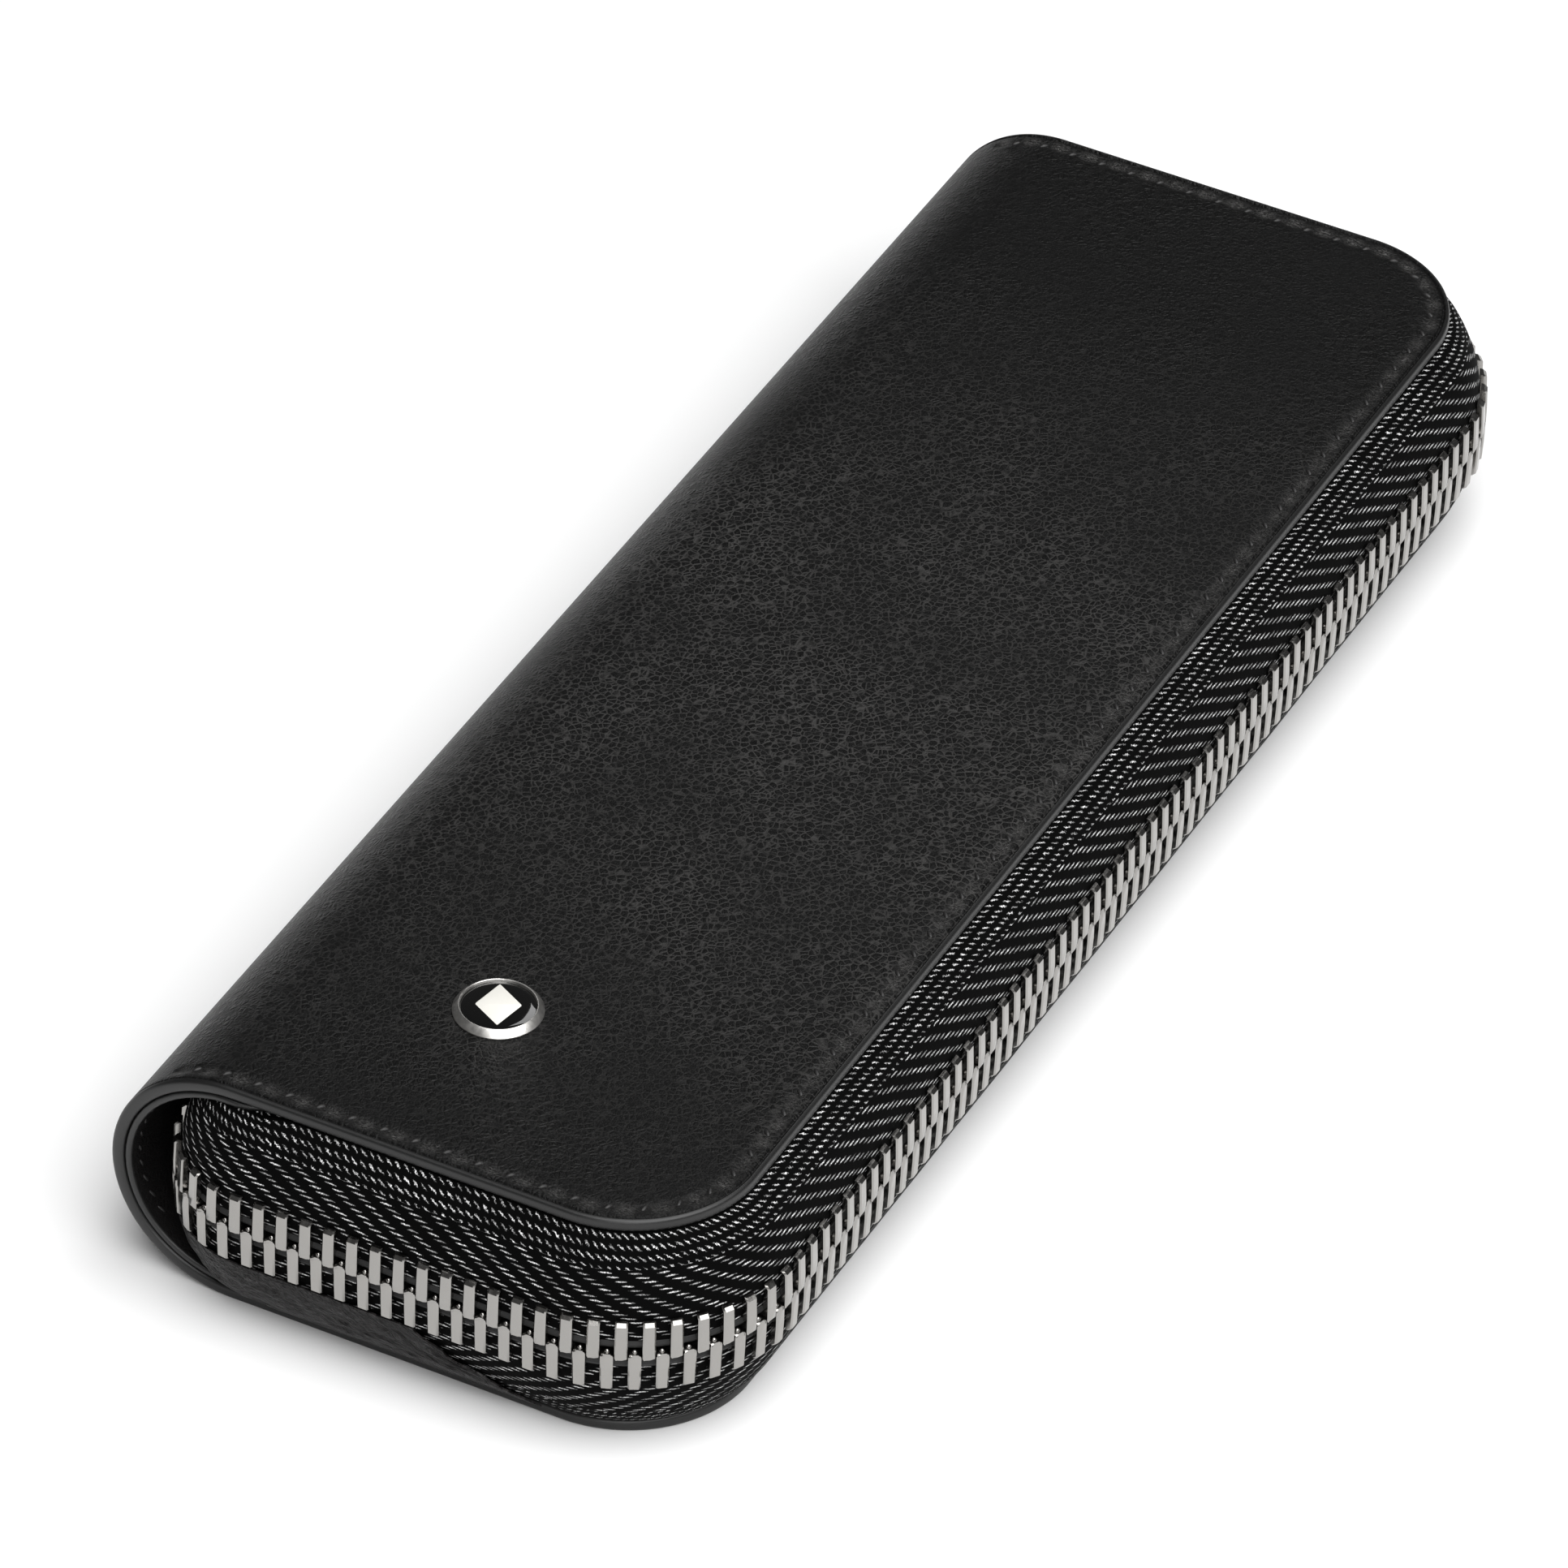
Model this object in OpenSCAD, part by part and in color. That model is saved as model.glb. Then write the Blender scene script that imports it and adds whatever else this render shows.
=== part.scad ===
// Zip-around leather case for two fountain pens.
// Origin: middle of the underside. X runs from the spine to the opening edge,
// Y along the spine, Z up. All sizes in millimetres.

/* [Case] */
// Length of the case along the spine
case_l = 160; // [140:1:200]
// Width of the cover, spine to opening edge
case_w = 56; // [50:1:80]
// Height of the closed case
case_h = 23.5; // [21:0.5:30]
// Radius of the two corners on the opening side
corner_r = 12; // [9:1:18]

/* [Leather] */
// Thickness of the outer leather
cover_t = 1.2; // [0.8:0.1:1.8]
// Thickness of the stiffening board
board_t = 0.4; // [0.3:0.1:0.8]
// Thickness of the lining leather
lining_t = 0.6; // [0.4:0.1:1.0]
// How far the lining stops short of the panel's edge
lining_inset = 2; // [1:0.5:4]
// Open slit left at each fold of the spine
fold_slit = 0.3; // [0.2:0.05:0.6]

/* [Zip] */
// How far the middle of the chain stands out past the cover's edge
overhang = 3.1; // [2.5:0.1:4.5]
// Width of tape held between the cover and the lining
tape_flange = 5; // [3:0.5:7]
// Distance from one tooth to the next along a row
tooth_pitch = 2.27; // [2:0.01:3]
// Length of a tooth along the chain
tooth_w = 1.0; // [0.8:0.05:1.2]
// Depth of a tooth through the tape
tooth_d = 1.8; // [1.4:0.1:2.2]
// Height of a tooth across the tape
tooth_h = 3.3; // [2.6:0.1:3.6]
// Clear height between the two rows
row_gap = 1.0; // [0.8:0.1:1.4]
// Radius where the chain turns in behind the spine
tail_r = 9.5; // [7:0.5:11]
// Straight length of chain behind the spine
tail_l = 5; // [3:0.5:8]
// Clearance between the tape's tail and the spine's lining
tail_gap = 1.04; // [0.8:0.02:2]

/* [Slider] */
// Length of the slider along the chain
slider_l = 9; // [7:0.5:11]
// Thickness of the slider's two plates
plate_t = 0.8; // [0.6:0.1:1.2]
// Clearance between the teeth and the slider
slider_gap = 0.4; // [0.3:0.05:0.6]
// Radius of the pull tab's pin
pin_r = 0.5; // [0.4:0.05:0.8]
// Running clearance round the pin
pin_gap = 0.05; // [0.02:0.01:0.08]
// Length of the pull tab from the pin
pull_l = 24; // [16:1:30]
// Width of the pull tab
pull_w = 5; // [4:0.5:7]
// Thickness of the pull tab
pull_t = 0.9; // [0.6:0.1:1.4]

/* [Pen loops] */
// Inner width of a loop
loop_w = 14; // [12:0.5:16]
// Straight height of a loop's sides
loop_side = 6.5; // [4:0.5:8]
// Thickness of the loop leather
loop_t = 0.8; // [0.6:0.1:1.2]
// Width of the foot sewn down beside the loops
loop_foot = 3; // [2:0.5:4]
// Bare floor left on each side of the loops
loop_margin = 1.025; // [0.5:0.025:2]
// Length of the front pen sleeve
sleeve_l = 36; // [20:1:50]
// Length of the rear pen loops
band_l = 14; // [8:1:24]
// Distance from the middle of the case to the sleeve and to the loops
loop_y = 42; // [34:1:60]

/* [Badge] */
// Outer radius of the badge
badge_r = 4; // [3:0.25:6]
// Width of the badge's metal rim
badge_rim = 0.5; // [0.3:0.1:0.9]
// Height of the badge above the leather
badge_h = 0.8; // [0.6:0.1:1.2]
// Place of the badge across the case
badge_x = -1.4; // [-8:0.2:8]
// Distance from the badge to the front edge
badge_inset = 20.4; // [12:0.2:40]

/* [Stitching] */
// Distance from the cover's edge to the stitch line
stitch_inset = 1.9; // [1.5:0.1:3]
// Distance from one stitch to the next
stitch_pitch = 3.0; // [2.4:0.1:4]
// Visible length of a stitch
stitch_l = 2.3; // [1.6:0.1:2.6]
// Thickness of the thread
thread = 0.4; // [0.3:0.05:0.5]

/* [Hidden] */
$fn = 96;

LEATHER = "#1c1b1b";
LINING = "#232121";
BOARD = "#6b6256";
TAPE = "#141414";
METAL = "#c8c8c6";
THREAD = "#101010";

mid_z = case_h / 2;
edge_x = case_w / 2;
spine_x = mid_z - case_w / 2;          // axis of the round spine
end_y = case_l / 2;
board_r = mid_z - cover_t;             // outer radius of the board on the spine
lining_r = board_r - board_t;          // outer radius of the lining on the spine
inner_r = lining_r - lining_t;         // clear radius inside the spine
floor_z = cover_t + board_t + lining_t;
half_slit = fold_slit / 2 / mid_z * 180 / PI;

tape_t = board_t;                      // the tape fills the board's layer at the rim
row_z = mid_z - row_gap / 2 - tooth_h; // underside of the lower row
tape_mid = cover_t + tape_t / 2;

chain_y = end_y + overhang;
chain_r = corner_r + overhang;
corner_x = edge_x - corner_r;
side_l = case_l - 2 * corner_r;
tail_h = 1.5;                          // height of the tape's tail below the teeth
tail_wall = sqrt(pow(inner_r, 2) - pow(mid_z - row_z + tail_h, 2));  // lining beside the tail
tail_x = round(100 * (spine_x - tail_wall + tape_t / 2 + tail_gap)) / 100;
front_x = tail_x + tail_r;             // where the straight end run begins
front_l = corner_x - front_x;

slider_y = tooth_d / 2 + slider_gap;   // inner face of each plate
ear_r = pin_r + 0.5;
ear_h = 1;
ear_gap = 3.8;                         // clear height between the ears
pin_y = slider_y + plate_t + ear_r + 0.45;
slider_x = front_x + slider_l / 2 + 0.5;

loop_r = loop_w / 2;
loop_floor = edge_x - lining_inset - spine_x;
middle_foot = loop_floor - 2 * (loop_w + 2 * loop_t + loop_foot + loop_margin);
loop_step = loop_w + 2 * loop_t + middle_foot;
loop_x = spine_x + loop_floor / 2;
groove_d = thread + 0.05;
groove_w = thread + 0.3;
badge_y = badge_inset - end_y;

// ---------- shared shapes ----------

function from_axis(d, a) = [spine_x, mid_z] + d * [cos(a), sin(a)];
far = 4 * case_w;                      // beyond the case in every direction

// side view of the whole folded case, r from the spine's axis to its skin
module fold_outline(r, right) union() {
    translate([spine_x, mid_z]) circle(r);
    translate([spine_x, mid_z - r]) square([right - spine_x, 2 * r]);
}

// side view of one folded sheet
module fold_profile(r, t) difference() {
    fold_outline(r, edge_x);
    fold_outline(r - t, edge_x + 1);
}

module along_y(len) rotate([90, 0, 0]) linear_extrude(len, center = true) children();

// plan of a panel, inset from the cover's edge, with its own inset round the spine
module panel_plan(inset, arc_inset) union() {
    translate([-far, arc_inset - end_y]) square([spine_x + far, case_l - 2 * arc_inset]);
    translate([spine_x - 1, inset - end_y]) square([corner_x - spine_x + 1, case_l - 2 * inset]);
    translate([spine_x, corner_r - end_y]) square([edge_x - inset - spine_x, side_l]);
    for (s = [-1, 1]) translate([corner_x, s * (end_y - corner_r)]) circle(corner_r - inset);
}

// one sheet of the lower half: flat panel, two round corners, and the fold's first eighth
module half_sheet(r, t, inset, arc_inset) intersection() {
    along_y(case_l) intersection() {
        fold_profile(r, t);
        polygon([[spine_x, mid_z], from_axis(far, 225 + half_slit), [0, -far], [far, mid_z]]);
    }
    translate([0, 0, -1]) linear_extrude(case_h) panel_plan(inset, arc_inset);
}

module lid_side() translate([0, 0, case_h]) mirror([0, 0, 1]) children();

// the child outline, as [outward, up], carried round the three open sides
module rim(x0 = front_x) {
    run = corner_x - x0;
    translate([corner_x, 0, 0]) rotate([90, 0, 0])
        linear_extrude(side_l, center = true) translate([corner_r, 0]) children();
    for (s = [-1, 1]) {
        translate([corner_x, s * (end_y - corner_r), 0]) rotate([0, 0, s < 0 ? -90 : 0])
            rotate_extrude(angle = 90) translate([corner_r, 0]) children();
        end_run(s, x0, corner_x) children();
    }
}

// the child outline along one end only, from x0 to x1
module end_run(s, x0, x1)
    translate([(x0 + x1) / 2, s * (end_y - corner_r), 0]) rotate([0, 0, s * 90])
        rotate([90, 0, 0]) linear_extrude(x1 - x0, center = true)
            translate([corner_r, 0]) children();

function unit(v) = v / norm(v);
function left_normal(p, i) =
    let (a = p[max(i - 1, 0)], b = p[min(i + 1, len(p) - 1)], d = unit(b - a)) [-d[1], d[0]];

// a strip of thickness t along the points p
module strip(p, t) polygon(concat(
    [for (i = [0 : len(p) - 1]) p[i] + left_normal(p, i) * t / 2],
    [for (i = [len(p) - 1 : -1 : 0]) p[i] - left_normal(p, i) * t / 2]));

// ---------- the chain's path: straight runs and quarter turns, all to the left ----------

runs = [[0, tail_l], [tail_r, 0], [0, front_l], [chain_r, 0], [0, side_l],
        [chain_r, 0], [0, front_l], [tail_r, 0], [0, tail_l]];
path_start = [tail_x, -chain_y + tail_r + tail_l, -90];

function run_length(r) = r[0] > 0 ? r[0] * PI / 2 : r[1];
function advance(p, r, s) = r[0] > 0
    ? let (h = p[2], a = s / r[0] * 180 / PI)
        [p[0] - r[0] * sin(h) + r[0] * sin(h + a), p[1] + r[0] * cos(h) - r[0] * cos(h + a), h + a]
    : [p[0] + s * cos(p[2]), p[1] + s * sin(p[2]), p[2]];
function along(p, i, s) = (i == len(runs) - 1 || s <= run_length(runs[i]))
    ? advance(p, runs[i], s)
    : along(advance(p, runs[i], run_length(runs[i])), i + 1, s - run_length(runs[i]));
function total(n) = n < 0 ? 0 : run_length(runs[n]) + total(n - 1);

module at_path(s) {
    p = along(path_start, 0, s);
    translate([p[0], p[1], 0]) rotate([0, 0, p[2]]) children();
}

chain_end = total(6);                  // the teeth end where the rear run meets its tail
stop_l = 1.6;
first_tooth = stop_l + tooth_pitch / 2;
teeth = floor((chain_end - first_tooth - tooth_pitch) / tooth_pitch);

module tooth_row(shift)
    for (k = [0 : teeth]) at_path(first_tooth + shift + k * tooth_pitch)
        translate([-tooth_w / 2, -tooth_d / 2, row_z]) cube([tooth_w, tooth_d, tooth_h]);

module stops()
    for (s = [stop_l / 2, chain_end + stop_l / 2 + 0.2]) at_path(s)
        translate([-stop_l / 2, -tooth_d / 2, row_z]) cube([stop_l, tooth_d, tooth_h]);

tape_path = [[-tape_flange, tape_mid], [-0.4, tape_mid],
             [0.39 * overhang, tape_mid + (row_z - tape_mid) * 0.25],
             [0.81 * overhang, tape_mid + (row_z - tape_mid) * 0.65],
             [overhang, row_z - 0.95], [overhang, row_z]];

module tail_strip(s)
    translate([front_x, s * (chain_y - tail_r), 0]) {
        rotate([0, 0, s < 0 ? 180 : 90]) rotate_extrude(angle = 90)
            translate([tail_r - tape_t / 2, row_z - tail_h]) square([tape_t, tail_h]);
        translate([-tail_r - tape_t / 2, s < 0 ? 0 : -tail_l, row_z - tail_h])
            cube([tape_t, tail_l, tail_h]);
    }

module tape_half() {
    rim() strip(tape_path, tape_t);
    tail_strip(-1);
    tail_strip(1);
}

module stitch_groove()
    rim(spine_x + 1) translate([-stitch_inset - groove_w / 2, -1]) square([groove_w, groove_d + 1]);

// stitches seated in the groove, from the spine round to the spine
stitch_r = corner_r - stitch_inset;
stitch_run = corner_x - spine_x - 2;
stitch_straight = floor(stitch_run / stitch_pitch);
stitch_side = floor(side_l / stitch_pitch);
stitch_turn = floor(stitch_r * PI / 2 / stitch_pitch);

module stitch(z) translate([-stitch_l / 2, -thread / 2, z]) cube([stitch_l, thread, thread]);

module stitches() {
    for (s = [-1, 1], i = [0 : stitch_straight - 1])
        translate([corner_x - (i + 0.5) * stitch_pitch, s * (end_y - stitch_inset), 0])
            stitch(groove_d - thread);
    for (s = [-1, 1], i = [0 : stitch_turn - 1])
        translate([corner_x, s * (end_y - corner_r), 0])
            rotate([0, 0, s * (90 * (i + 0.5) / stitch_turn)])
                translate([stitch_r, 0, 0]) rotate([0, 0, 90]) stitch(groove_d - thread);
    for (i = [0 : stitch_side - 1])
        translate([edge_x - stitch_inset, (i + 0.5 - stitch_side / 2) * stitch_pitch, 0])
            rotate([0, 0, 90]) stitch(groove_d - thread);
}

// ---------- lower half ----------

module cover_bottom() color(LEATHER) difference() {
    half_sheet(mid_z, cover_t, 0, 0);
    stitch_groove();
}

module board_bottom() color(BOARD)
    half_sheet(board_r, board_t, tape_flange + 0.2, tape_flange + 0.2);

module lining_bottom() color(LINING) half_sheet(lining_r, lining_t, lining_inset, 0);

module tape_lower() color(TAPE) tape_half();
module teeth_lower() color(METAL) tooth_row(0);
module stops_lower() color(METAL) stops();

// leather facing over the foot of the lower tape, at each end beside the spine
facing_t = 0.35;
facing_gap = 0.1;
facing_l = 24;
facing_out = tape_t / 2 + facing_gap + facing_t / 2;
facing_guide = [tape_path[1] + 0.35 * (tape_path[2] - tape_path[1]),
                tape_path[2], tape_path[3], tape_path[4] - [0, 0.3]];
facing_path = [for (i = [0 : 3]) facing_guide[i] - left_normal(facing_guide, i) * facing_out];

module facing(s) color(LINING) end_run(s, front_x, front_x + facing_l) strip(facing_path, facing_t);
module facing_front() facing(-1);
module facing_rear() facing(1);

module stitching_bottom() color(THREAD) stitches();

// ---------- pen loops ----------

module loop_outline(r) union() {
    translate([0, loop_side]) circle(r);
    translate([-r, 0]) square([2 * r, loop_side]);
}

// two arches side by side with sewn feet between and beside them
module loops(len, y0) color(LINING)
    translate([loop_x, y0 + len / 2, floor_z]) rotate([90, 0, 0]) linear_extrude(len) difference() {
        union() {
            for (s = [-1, 1]) translate([s * loop_step / 2, 0]) loop_outline(loop_r + loop_t);
            translate([-loop_step / 2 - loop_r - loop_t - loop_foot, 0])
                square([loop_step + loop_w + 2 * loop_t + 2 * loop_foot, loop_t]);
        }
        for (s = [-1, 1]) translate([s * loop_step / 2, -0.01]) loop_outline(loop_r);
        translate([-40, -20]) square([80, 20]);
    }

module pen_sleeve() loops(sleeve_l, -loop_y);
module pen_loops() loops(band_l, loop_y);

module loop_stitch_row(len, y0) {
    n = floor(len / stitch_pitch);
    foot_x = loop_step / 2 + loop_r + loop_t + loop_foot / 2;
    for (x = [-foot_x, 0, foot_x], i = [0 : n - 1])
        translate([loop_x + x, y0 + (i + 0.5 - n / 2) * stitch_pitch, 0])
            rotate([0, 0, 90]) stitch(floor_z + loop_t);
}

module loop_stitching() color(THREAD) {
    loop_stitch_row(sleeve_l, -loop_y);
    loop_stitch_row(band_l, loop_y);
}

// ---------- spine ----------

module spine_sheet(r, t, inset) along_y(case_l - 2 * inset) intersection() {
    fold_profile(r, t);
    polygon([[spine_x, mid_z], from_axis(far, 135 + half_slit), from_axis(far, 225 - half_slit)]);
}

module cover_spine() color(LEATHER) spine_sheet(mid_z, cover_t, 0);
module spine_stiffener() color(BOARD) spine_sheet(board_r, board_t, tape_flange + 0.2);
module lining_spine() color(LINING) spine_sheet(lining_r, lining_t, 0);

// stitches on the lining just inside each end of the spine
spine_stitches = 5;
module lining_stitching() color(THREAD)
    for (s = [-1, 1], i = [0 : spine_stitches - 1])
        translate([spine_x, s * (end_y - stitch_inset), mid_z])
            rotate([0, 180 + (i - (spine_stitches - 1) / 2) * 16, 0])
                translate([inner_r - thread - 0.08, -thread / 2, -stitch_l / 2])
                    cube([thread, thread, stitch_l]);

// ---------- upper half ----------

shank_r = 1.5;
washer_r = 2.6;

module badge_hole(r) translate([badge_x, badge_y, mid_z]) cylinder(r = r, h = case_h);

module cover_top() color(LEATHER) difference() {
    lid_side() difference() {
        half_sheet(mid_z, cover_t, 0, 0);
        stitch_groove();
    }
    badge_hole(shank_r);
}

module board_top() color(BOARD) difference() {
    lid_side() half_sheet(board_r, board_t, tape_flange + 0.2, tape_flange + 0.2);
    badge_hole(washer_r + 0.2);
}

module lining_top() color(LINING) lid_side() half_sheet(lining_r, lining_t, lining_inset, 0);
module tape_upper() color(TAPE) lid_side() tape_half();
module teeth_upper() color(METAL) lid_side() tooth_row(tooth_pitch / 2);
module stops_upper() color(METAL) lid_side() stops();
module stitching_top() color(THREAD) lid_side() stitches();

// ---------- badge ----------

module on_lid() translate([badge_x, badge_y, case_h]) children();

cup_t = 0.3;
inlay_t = 0.15;
disc_t = badge_h - cup_t - inlay_t;

module badge_bezel() color(METAL) on_lid() difference() {
    union() {
        cylinder(r = badge_r, h = badge_h);
        translate([0, 0, -cover_t - board_t]) cylinder(r = shank_r, h = cover_t + board_t + 0.1);
    }
    translate([0, 0, cup_t]) cylinder(r = badge_r - badge_rim, h = badge_h);
}

module badge_disc() color("#0a0a0a") on_lid() translate([0, 0, cup_t])
    cylinder(r = badge_r - badge_rim, h = disc_t);

// plain lozenge, a generic mark
module badge_inlay() color("#f4f4f2") on_lid() translate([0, 0, cup_t + disc_t])
    linear_extrude(inlay_t) polygon([[0, 0.62], [0.36, 0], [0, -0.62], [-0.36, 0]]
                                    * (badge_r - badge_rim));

module badge_washer() color(METAL) on_lid() translate([0, 0, -cover_t - board_t])
    difference() {
        cylinder(r = washer_r, h = board_t);
        translate([0, 0, -1]) cylinder(r = shank_r, h = board_t + 2);
    }

// ---------- slider, parked at the rear beside the spine ----------

module at_slider() translate([slider_x, chain_y, mid_z]) children();

low_z = -(mid_z - row_z) - 0.95;       // foot of the plates, beside the straight tape
top_z = mid_z - row_z + 0.5;
lip = slider_gap + 0.3;

module slider_body() color(METAL) at_slider() {
    for (s = [-1, 1]) {
        translate([-slider_l / 2, s > 0 ? slider_y : -slider_y - plate_t, low_z])
            cube([slider_l, plate_t, top_z - low_z]);
        translate([-slider_l / 2, s > 0 ? slider_y - lip : -slider_y - 0.01, low_z])
            cube([slider_l, lip + 0.01, 0.65]);
    }
    translate([-1, -slider_y - 0.01, -0.3]) cube([2, 2 * slider_y + 0.02, 0.6]);
    for (z = [-ear_gap / 2 - ear_h, ear_gap / 2]) difference() {
        union() {
            translate([-ear_r, slider_y + plate_t - 0.01, z])
                cube([2 * ear_r, pin_y - slider_y - plate_t + 0.01, ear_h]);
            translate([0, pin_y, z]) cylinder(r = ear_r, h = ear_h);
        }
        translate([0, pin_y, z - 1]) cylinder(r = pin_r, h = ear_h + 2);
    }
}

module slider_pin() color(METAL) at_slider()
    translate([0, pin_y, -ear_gap / 2 - ear_h]) cylinder(r = pin_r, h = ear_gap + 2 * ear_h);

neck_h = ear_gap - 0.3;
neck_l = ear_r + 1.8;

module pull_tab() color(METAL) at_slider() translate([0, pin_y, 0]) difference() {
    union() {
        translate([0, 0, -neck_h / 2]) cylinder(r = pin_r + 0.5, h = neck_h);
        translate([0, -pull_t / 2, -neck_h / 2]) cube([neck_l + 0.01, pull_t, neck_h]);
        rotate([90, 0, 0]) linear_extrude(pull_t, center = true) difference() {
            union() {
                translate([neck_l, -pull_w / 2]) square([pull_l - neck_l - pull_w / 2, pull_w]);
                translate([pull_l - pull_w / 2, 0]) circle(pull_w / 2);
            }
            translate([pull_l - pull_w / 2, 0]) circle(pull_w / 5);
        }
    }
    translate([0, 0, -neck_h]) cylinder(r = pin_r + pin_gap, h = 2 * neck_h);
}

// ---------- output ----------

cover_bottom();
board_bottom();
lining_bottom();
tape_lower();
teeth_lower();
stops_lower();
facing_front();
facing_rear();
stitching_bottom();
pen_sleeve();
pen_loops();
loop_stitching();
cover_spine();
spine_stiffener();
lining_spine();
lining_stitching();
cover_top();
board_top();
lining_top();
tape_upper();
teeth_upper();
stops_upper();
stitching_top();
badge_bezel();
badge_disc();
badge_inlay();
badge_washer();
slider_body();
slider_pin();
pull_tab();
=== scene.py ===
import math
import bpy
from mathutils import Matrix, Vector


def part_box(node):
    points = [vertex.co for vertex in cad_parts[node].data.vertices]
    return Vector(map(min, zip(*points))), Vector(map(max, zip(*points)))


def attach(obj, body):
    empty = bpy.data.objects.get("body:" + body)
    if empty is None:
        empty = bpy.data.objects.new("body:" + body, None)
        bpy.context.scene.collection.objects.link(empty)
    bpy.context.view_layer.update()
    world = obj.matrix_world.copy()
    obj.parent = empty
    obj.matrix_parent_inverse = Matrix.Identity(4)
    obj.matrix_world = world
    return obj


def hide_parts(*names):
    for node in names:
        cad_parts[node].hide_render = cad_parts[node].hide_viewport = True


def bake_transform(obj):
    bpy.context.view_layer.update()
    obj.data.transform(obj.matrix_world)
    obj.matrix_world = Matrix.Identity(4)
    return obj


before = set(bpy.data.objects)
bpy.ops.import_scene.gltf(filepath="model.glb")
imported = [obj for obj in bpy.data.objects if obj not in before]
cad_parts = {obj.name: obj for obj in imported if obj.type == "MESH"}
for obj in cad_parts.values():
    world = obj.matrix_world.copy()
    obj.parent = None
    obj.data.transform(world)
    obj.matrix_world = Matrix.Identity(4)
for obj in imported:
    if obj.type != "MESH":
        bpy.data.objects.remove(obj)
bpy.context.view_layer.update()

from types import SimpleNamespace

import bmesh
import bpy
from bpy.props import FloatProperty, FloatVectorProperty, PointerProperty
from bpy.types import Operator, Panel, PropertyGroup
from mathutils import Matrix, Vector, noise

bl_info = {
    "name": "Fountain Pen Case",
    "version": (1, 0, 0),
    "blender": (4, 5, 0),
    "location": "3D View > Sidebar > Pen Case",
    "description": "Builds a zip-around leather case for two fountain pens",
    "category": "Add Mesh",
}

# Pieces are modelled in millimetres and brought to metres when they are settled.
TO_METRES = 0.001


def frame_mm(node):
    """Lowest and highest corner of a CAD node, in millimetres."""
    low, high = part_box(node)
    return low / TO_METRES, high / TO_METRES


CASE_H = frame_mm("cover_top")[1].z
MID_Z = CASE_H / 2
EDGE_X = frame_mm("cover_bottom")[1].x
END_Y = frame_mm("cover_bottom")[1].y
SPINE_X = frame_mm("cover_spine")[0].x + MID_Z

TAIL_R = 9.5                                     # the chain's turn in behind the spine
TAIL_L = 5.0                                     # and its straight end there
TAIL_X = frame_mm("teeth_lower")[0].x + 0.9      # middle of the tail
FRONT_X = TAIL_X + TAIL_R
TOOTH_FOOT = 8.05                                # height of the lower teeth's feet
CORD_Z = 10.7                                    # height of the cord in the lower tape's edge
LEAN = 0.1                                       # how far the lining's and loops' stitches lean off
COVER_LEAN = 0.5                                 # their seams, and the cover's, in radians
PAST_ENDS = 1000.0                               # the distance given to a point that a seam doesn't pass


# ---------------------------------------------------------------- settings


def linear(hex_value):
    """sRGB hex to linear RGBA."""
    channels = [int(hex_value[i:i + 2], 16) / 255 for i in (0, 2, 4)]
    return tuple(c / 12.92 if c < 0.04045 else ((c + 0.055) / 1.055) ** 2.4 for c in channels) + (1.0,)


def length(name, description, millimetres):
    return FloatProperty(name=name, description=description, default=millimetres * TO_METRES, min=0.0,
                         precision=5, unit="LENGTH")


def colour(name, description, hex_value):
    return FloatVectorProperty(name=name, description=description, default=linear(hex_value), min=0.0,
                               max=1.0,
                               size=4, subtype="COLOR")


class CaseSizes(PropertyGroup):
    """Sizes of the case's soft parts and small metal parts."""

    corner_r: length("Corner radius", "Plan radius of the cover's corners", 12.0)
    leather_t: length("Leather", "Thickness of the outer leather", 1.2)
    lining_t: length("Lining", "Thickness of the lining leather", 0.7)
    overhang: length("Overhang", "How far the chain stands out past the cover", 3.1)
    tape_t: length("Tape", "Thickness of the zip tape", 0.4)
    tooth_pitch: length("Tooth pitch", "Distance between teeth of one row", 2.27)
    tooth_w: length("Tooth width", "Width of a tooth along the chain", 1.12)
    tooth_d: length("Tooth depth", "Depth of a tooth through the tape", 2.0)
    stitch_inset: length("Stitch inset", "Stitch line from the cover's edge", 1.9)
    stitch_pitch: length("Stitch pitch", "Distance between stitches", 3.05)
    grain: length("Leather grain", "Width of one pebble of the grain", 0.64)


class CaseColours(PropertyGroup):
    """Colours of the finishes."""

    leather: colour("Leather", "Outer leather", "0f0f0f")
    # Painted highlight: the paler colour given to the cover's crease lines where they would catch the light.
    leather_worn: colour("Leather, creased", "Creases and bruised nap", "4a4948")
    lining: colour("Lining", "Lining leather", "100f0f")
    tape: colour("Tape", "Zip tape in shadow", "040404")
    # Painted highlight: the glint on a thread's crown, put into the tape's colour.
    tape_fleck: colour("Tape fleck", "Bright crown of a tape thread", "f2f2f2")
    nickel: colour("Nickel", "Zip metal", "9b9996")
    floor: colour("Floor", "Studio floor", "f4f4f4")


class Case:
    """The sizes, in millimetres, and the colours that the makers read."""

    def __init__(self, scene):
        lengths, colours = scene.pen_case_sizes, scene.pen_case_colours
        self.sizes = SimpleNamespace(**{k: round(getattr(lengths, k) / TO_METRES,
                                                 4) for k in lengths.__annotations__})
        self.colours = SimpleNamespace(**{k: tuple(getattr(colours, k)) for k in colours.__annotations__})


# ---------------------------------------------------------------- modelling helpers


def deselect():
    if bpy.context.object and bpy.context.object.mode != "OBJECT":
        bpy.ops.object.mode_set(mode="OBJECT")
    bpy.ops.object.select_all(action="DESELECT")


def activate(piece):
    deselect()
    piece.select_set(True)
    bpy.context.view_layer.objects.active = piece


def edit(piece):
    activate(piece)
    bpy.ops.object.mode_set(mode="EDIT")


def close():
    """Leaves edit mode."""
    bpy.ops.object.mode_set(mode="OBJECT")


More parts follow.
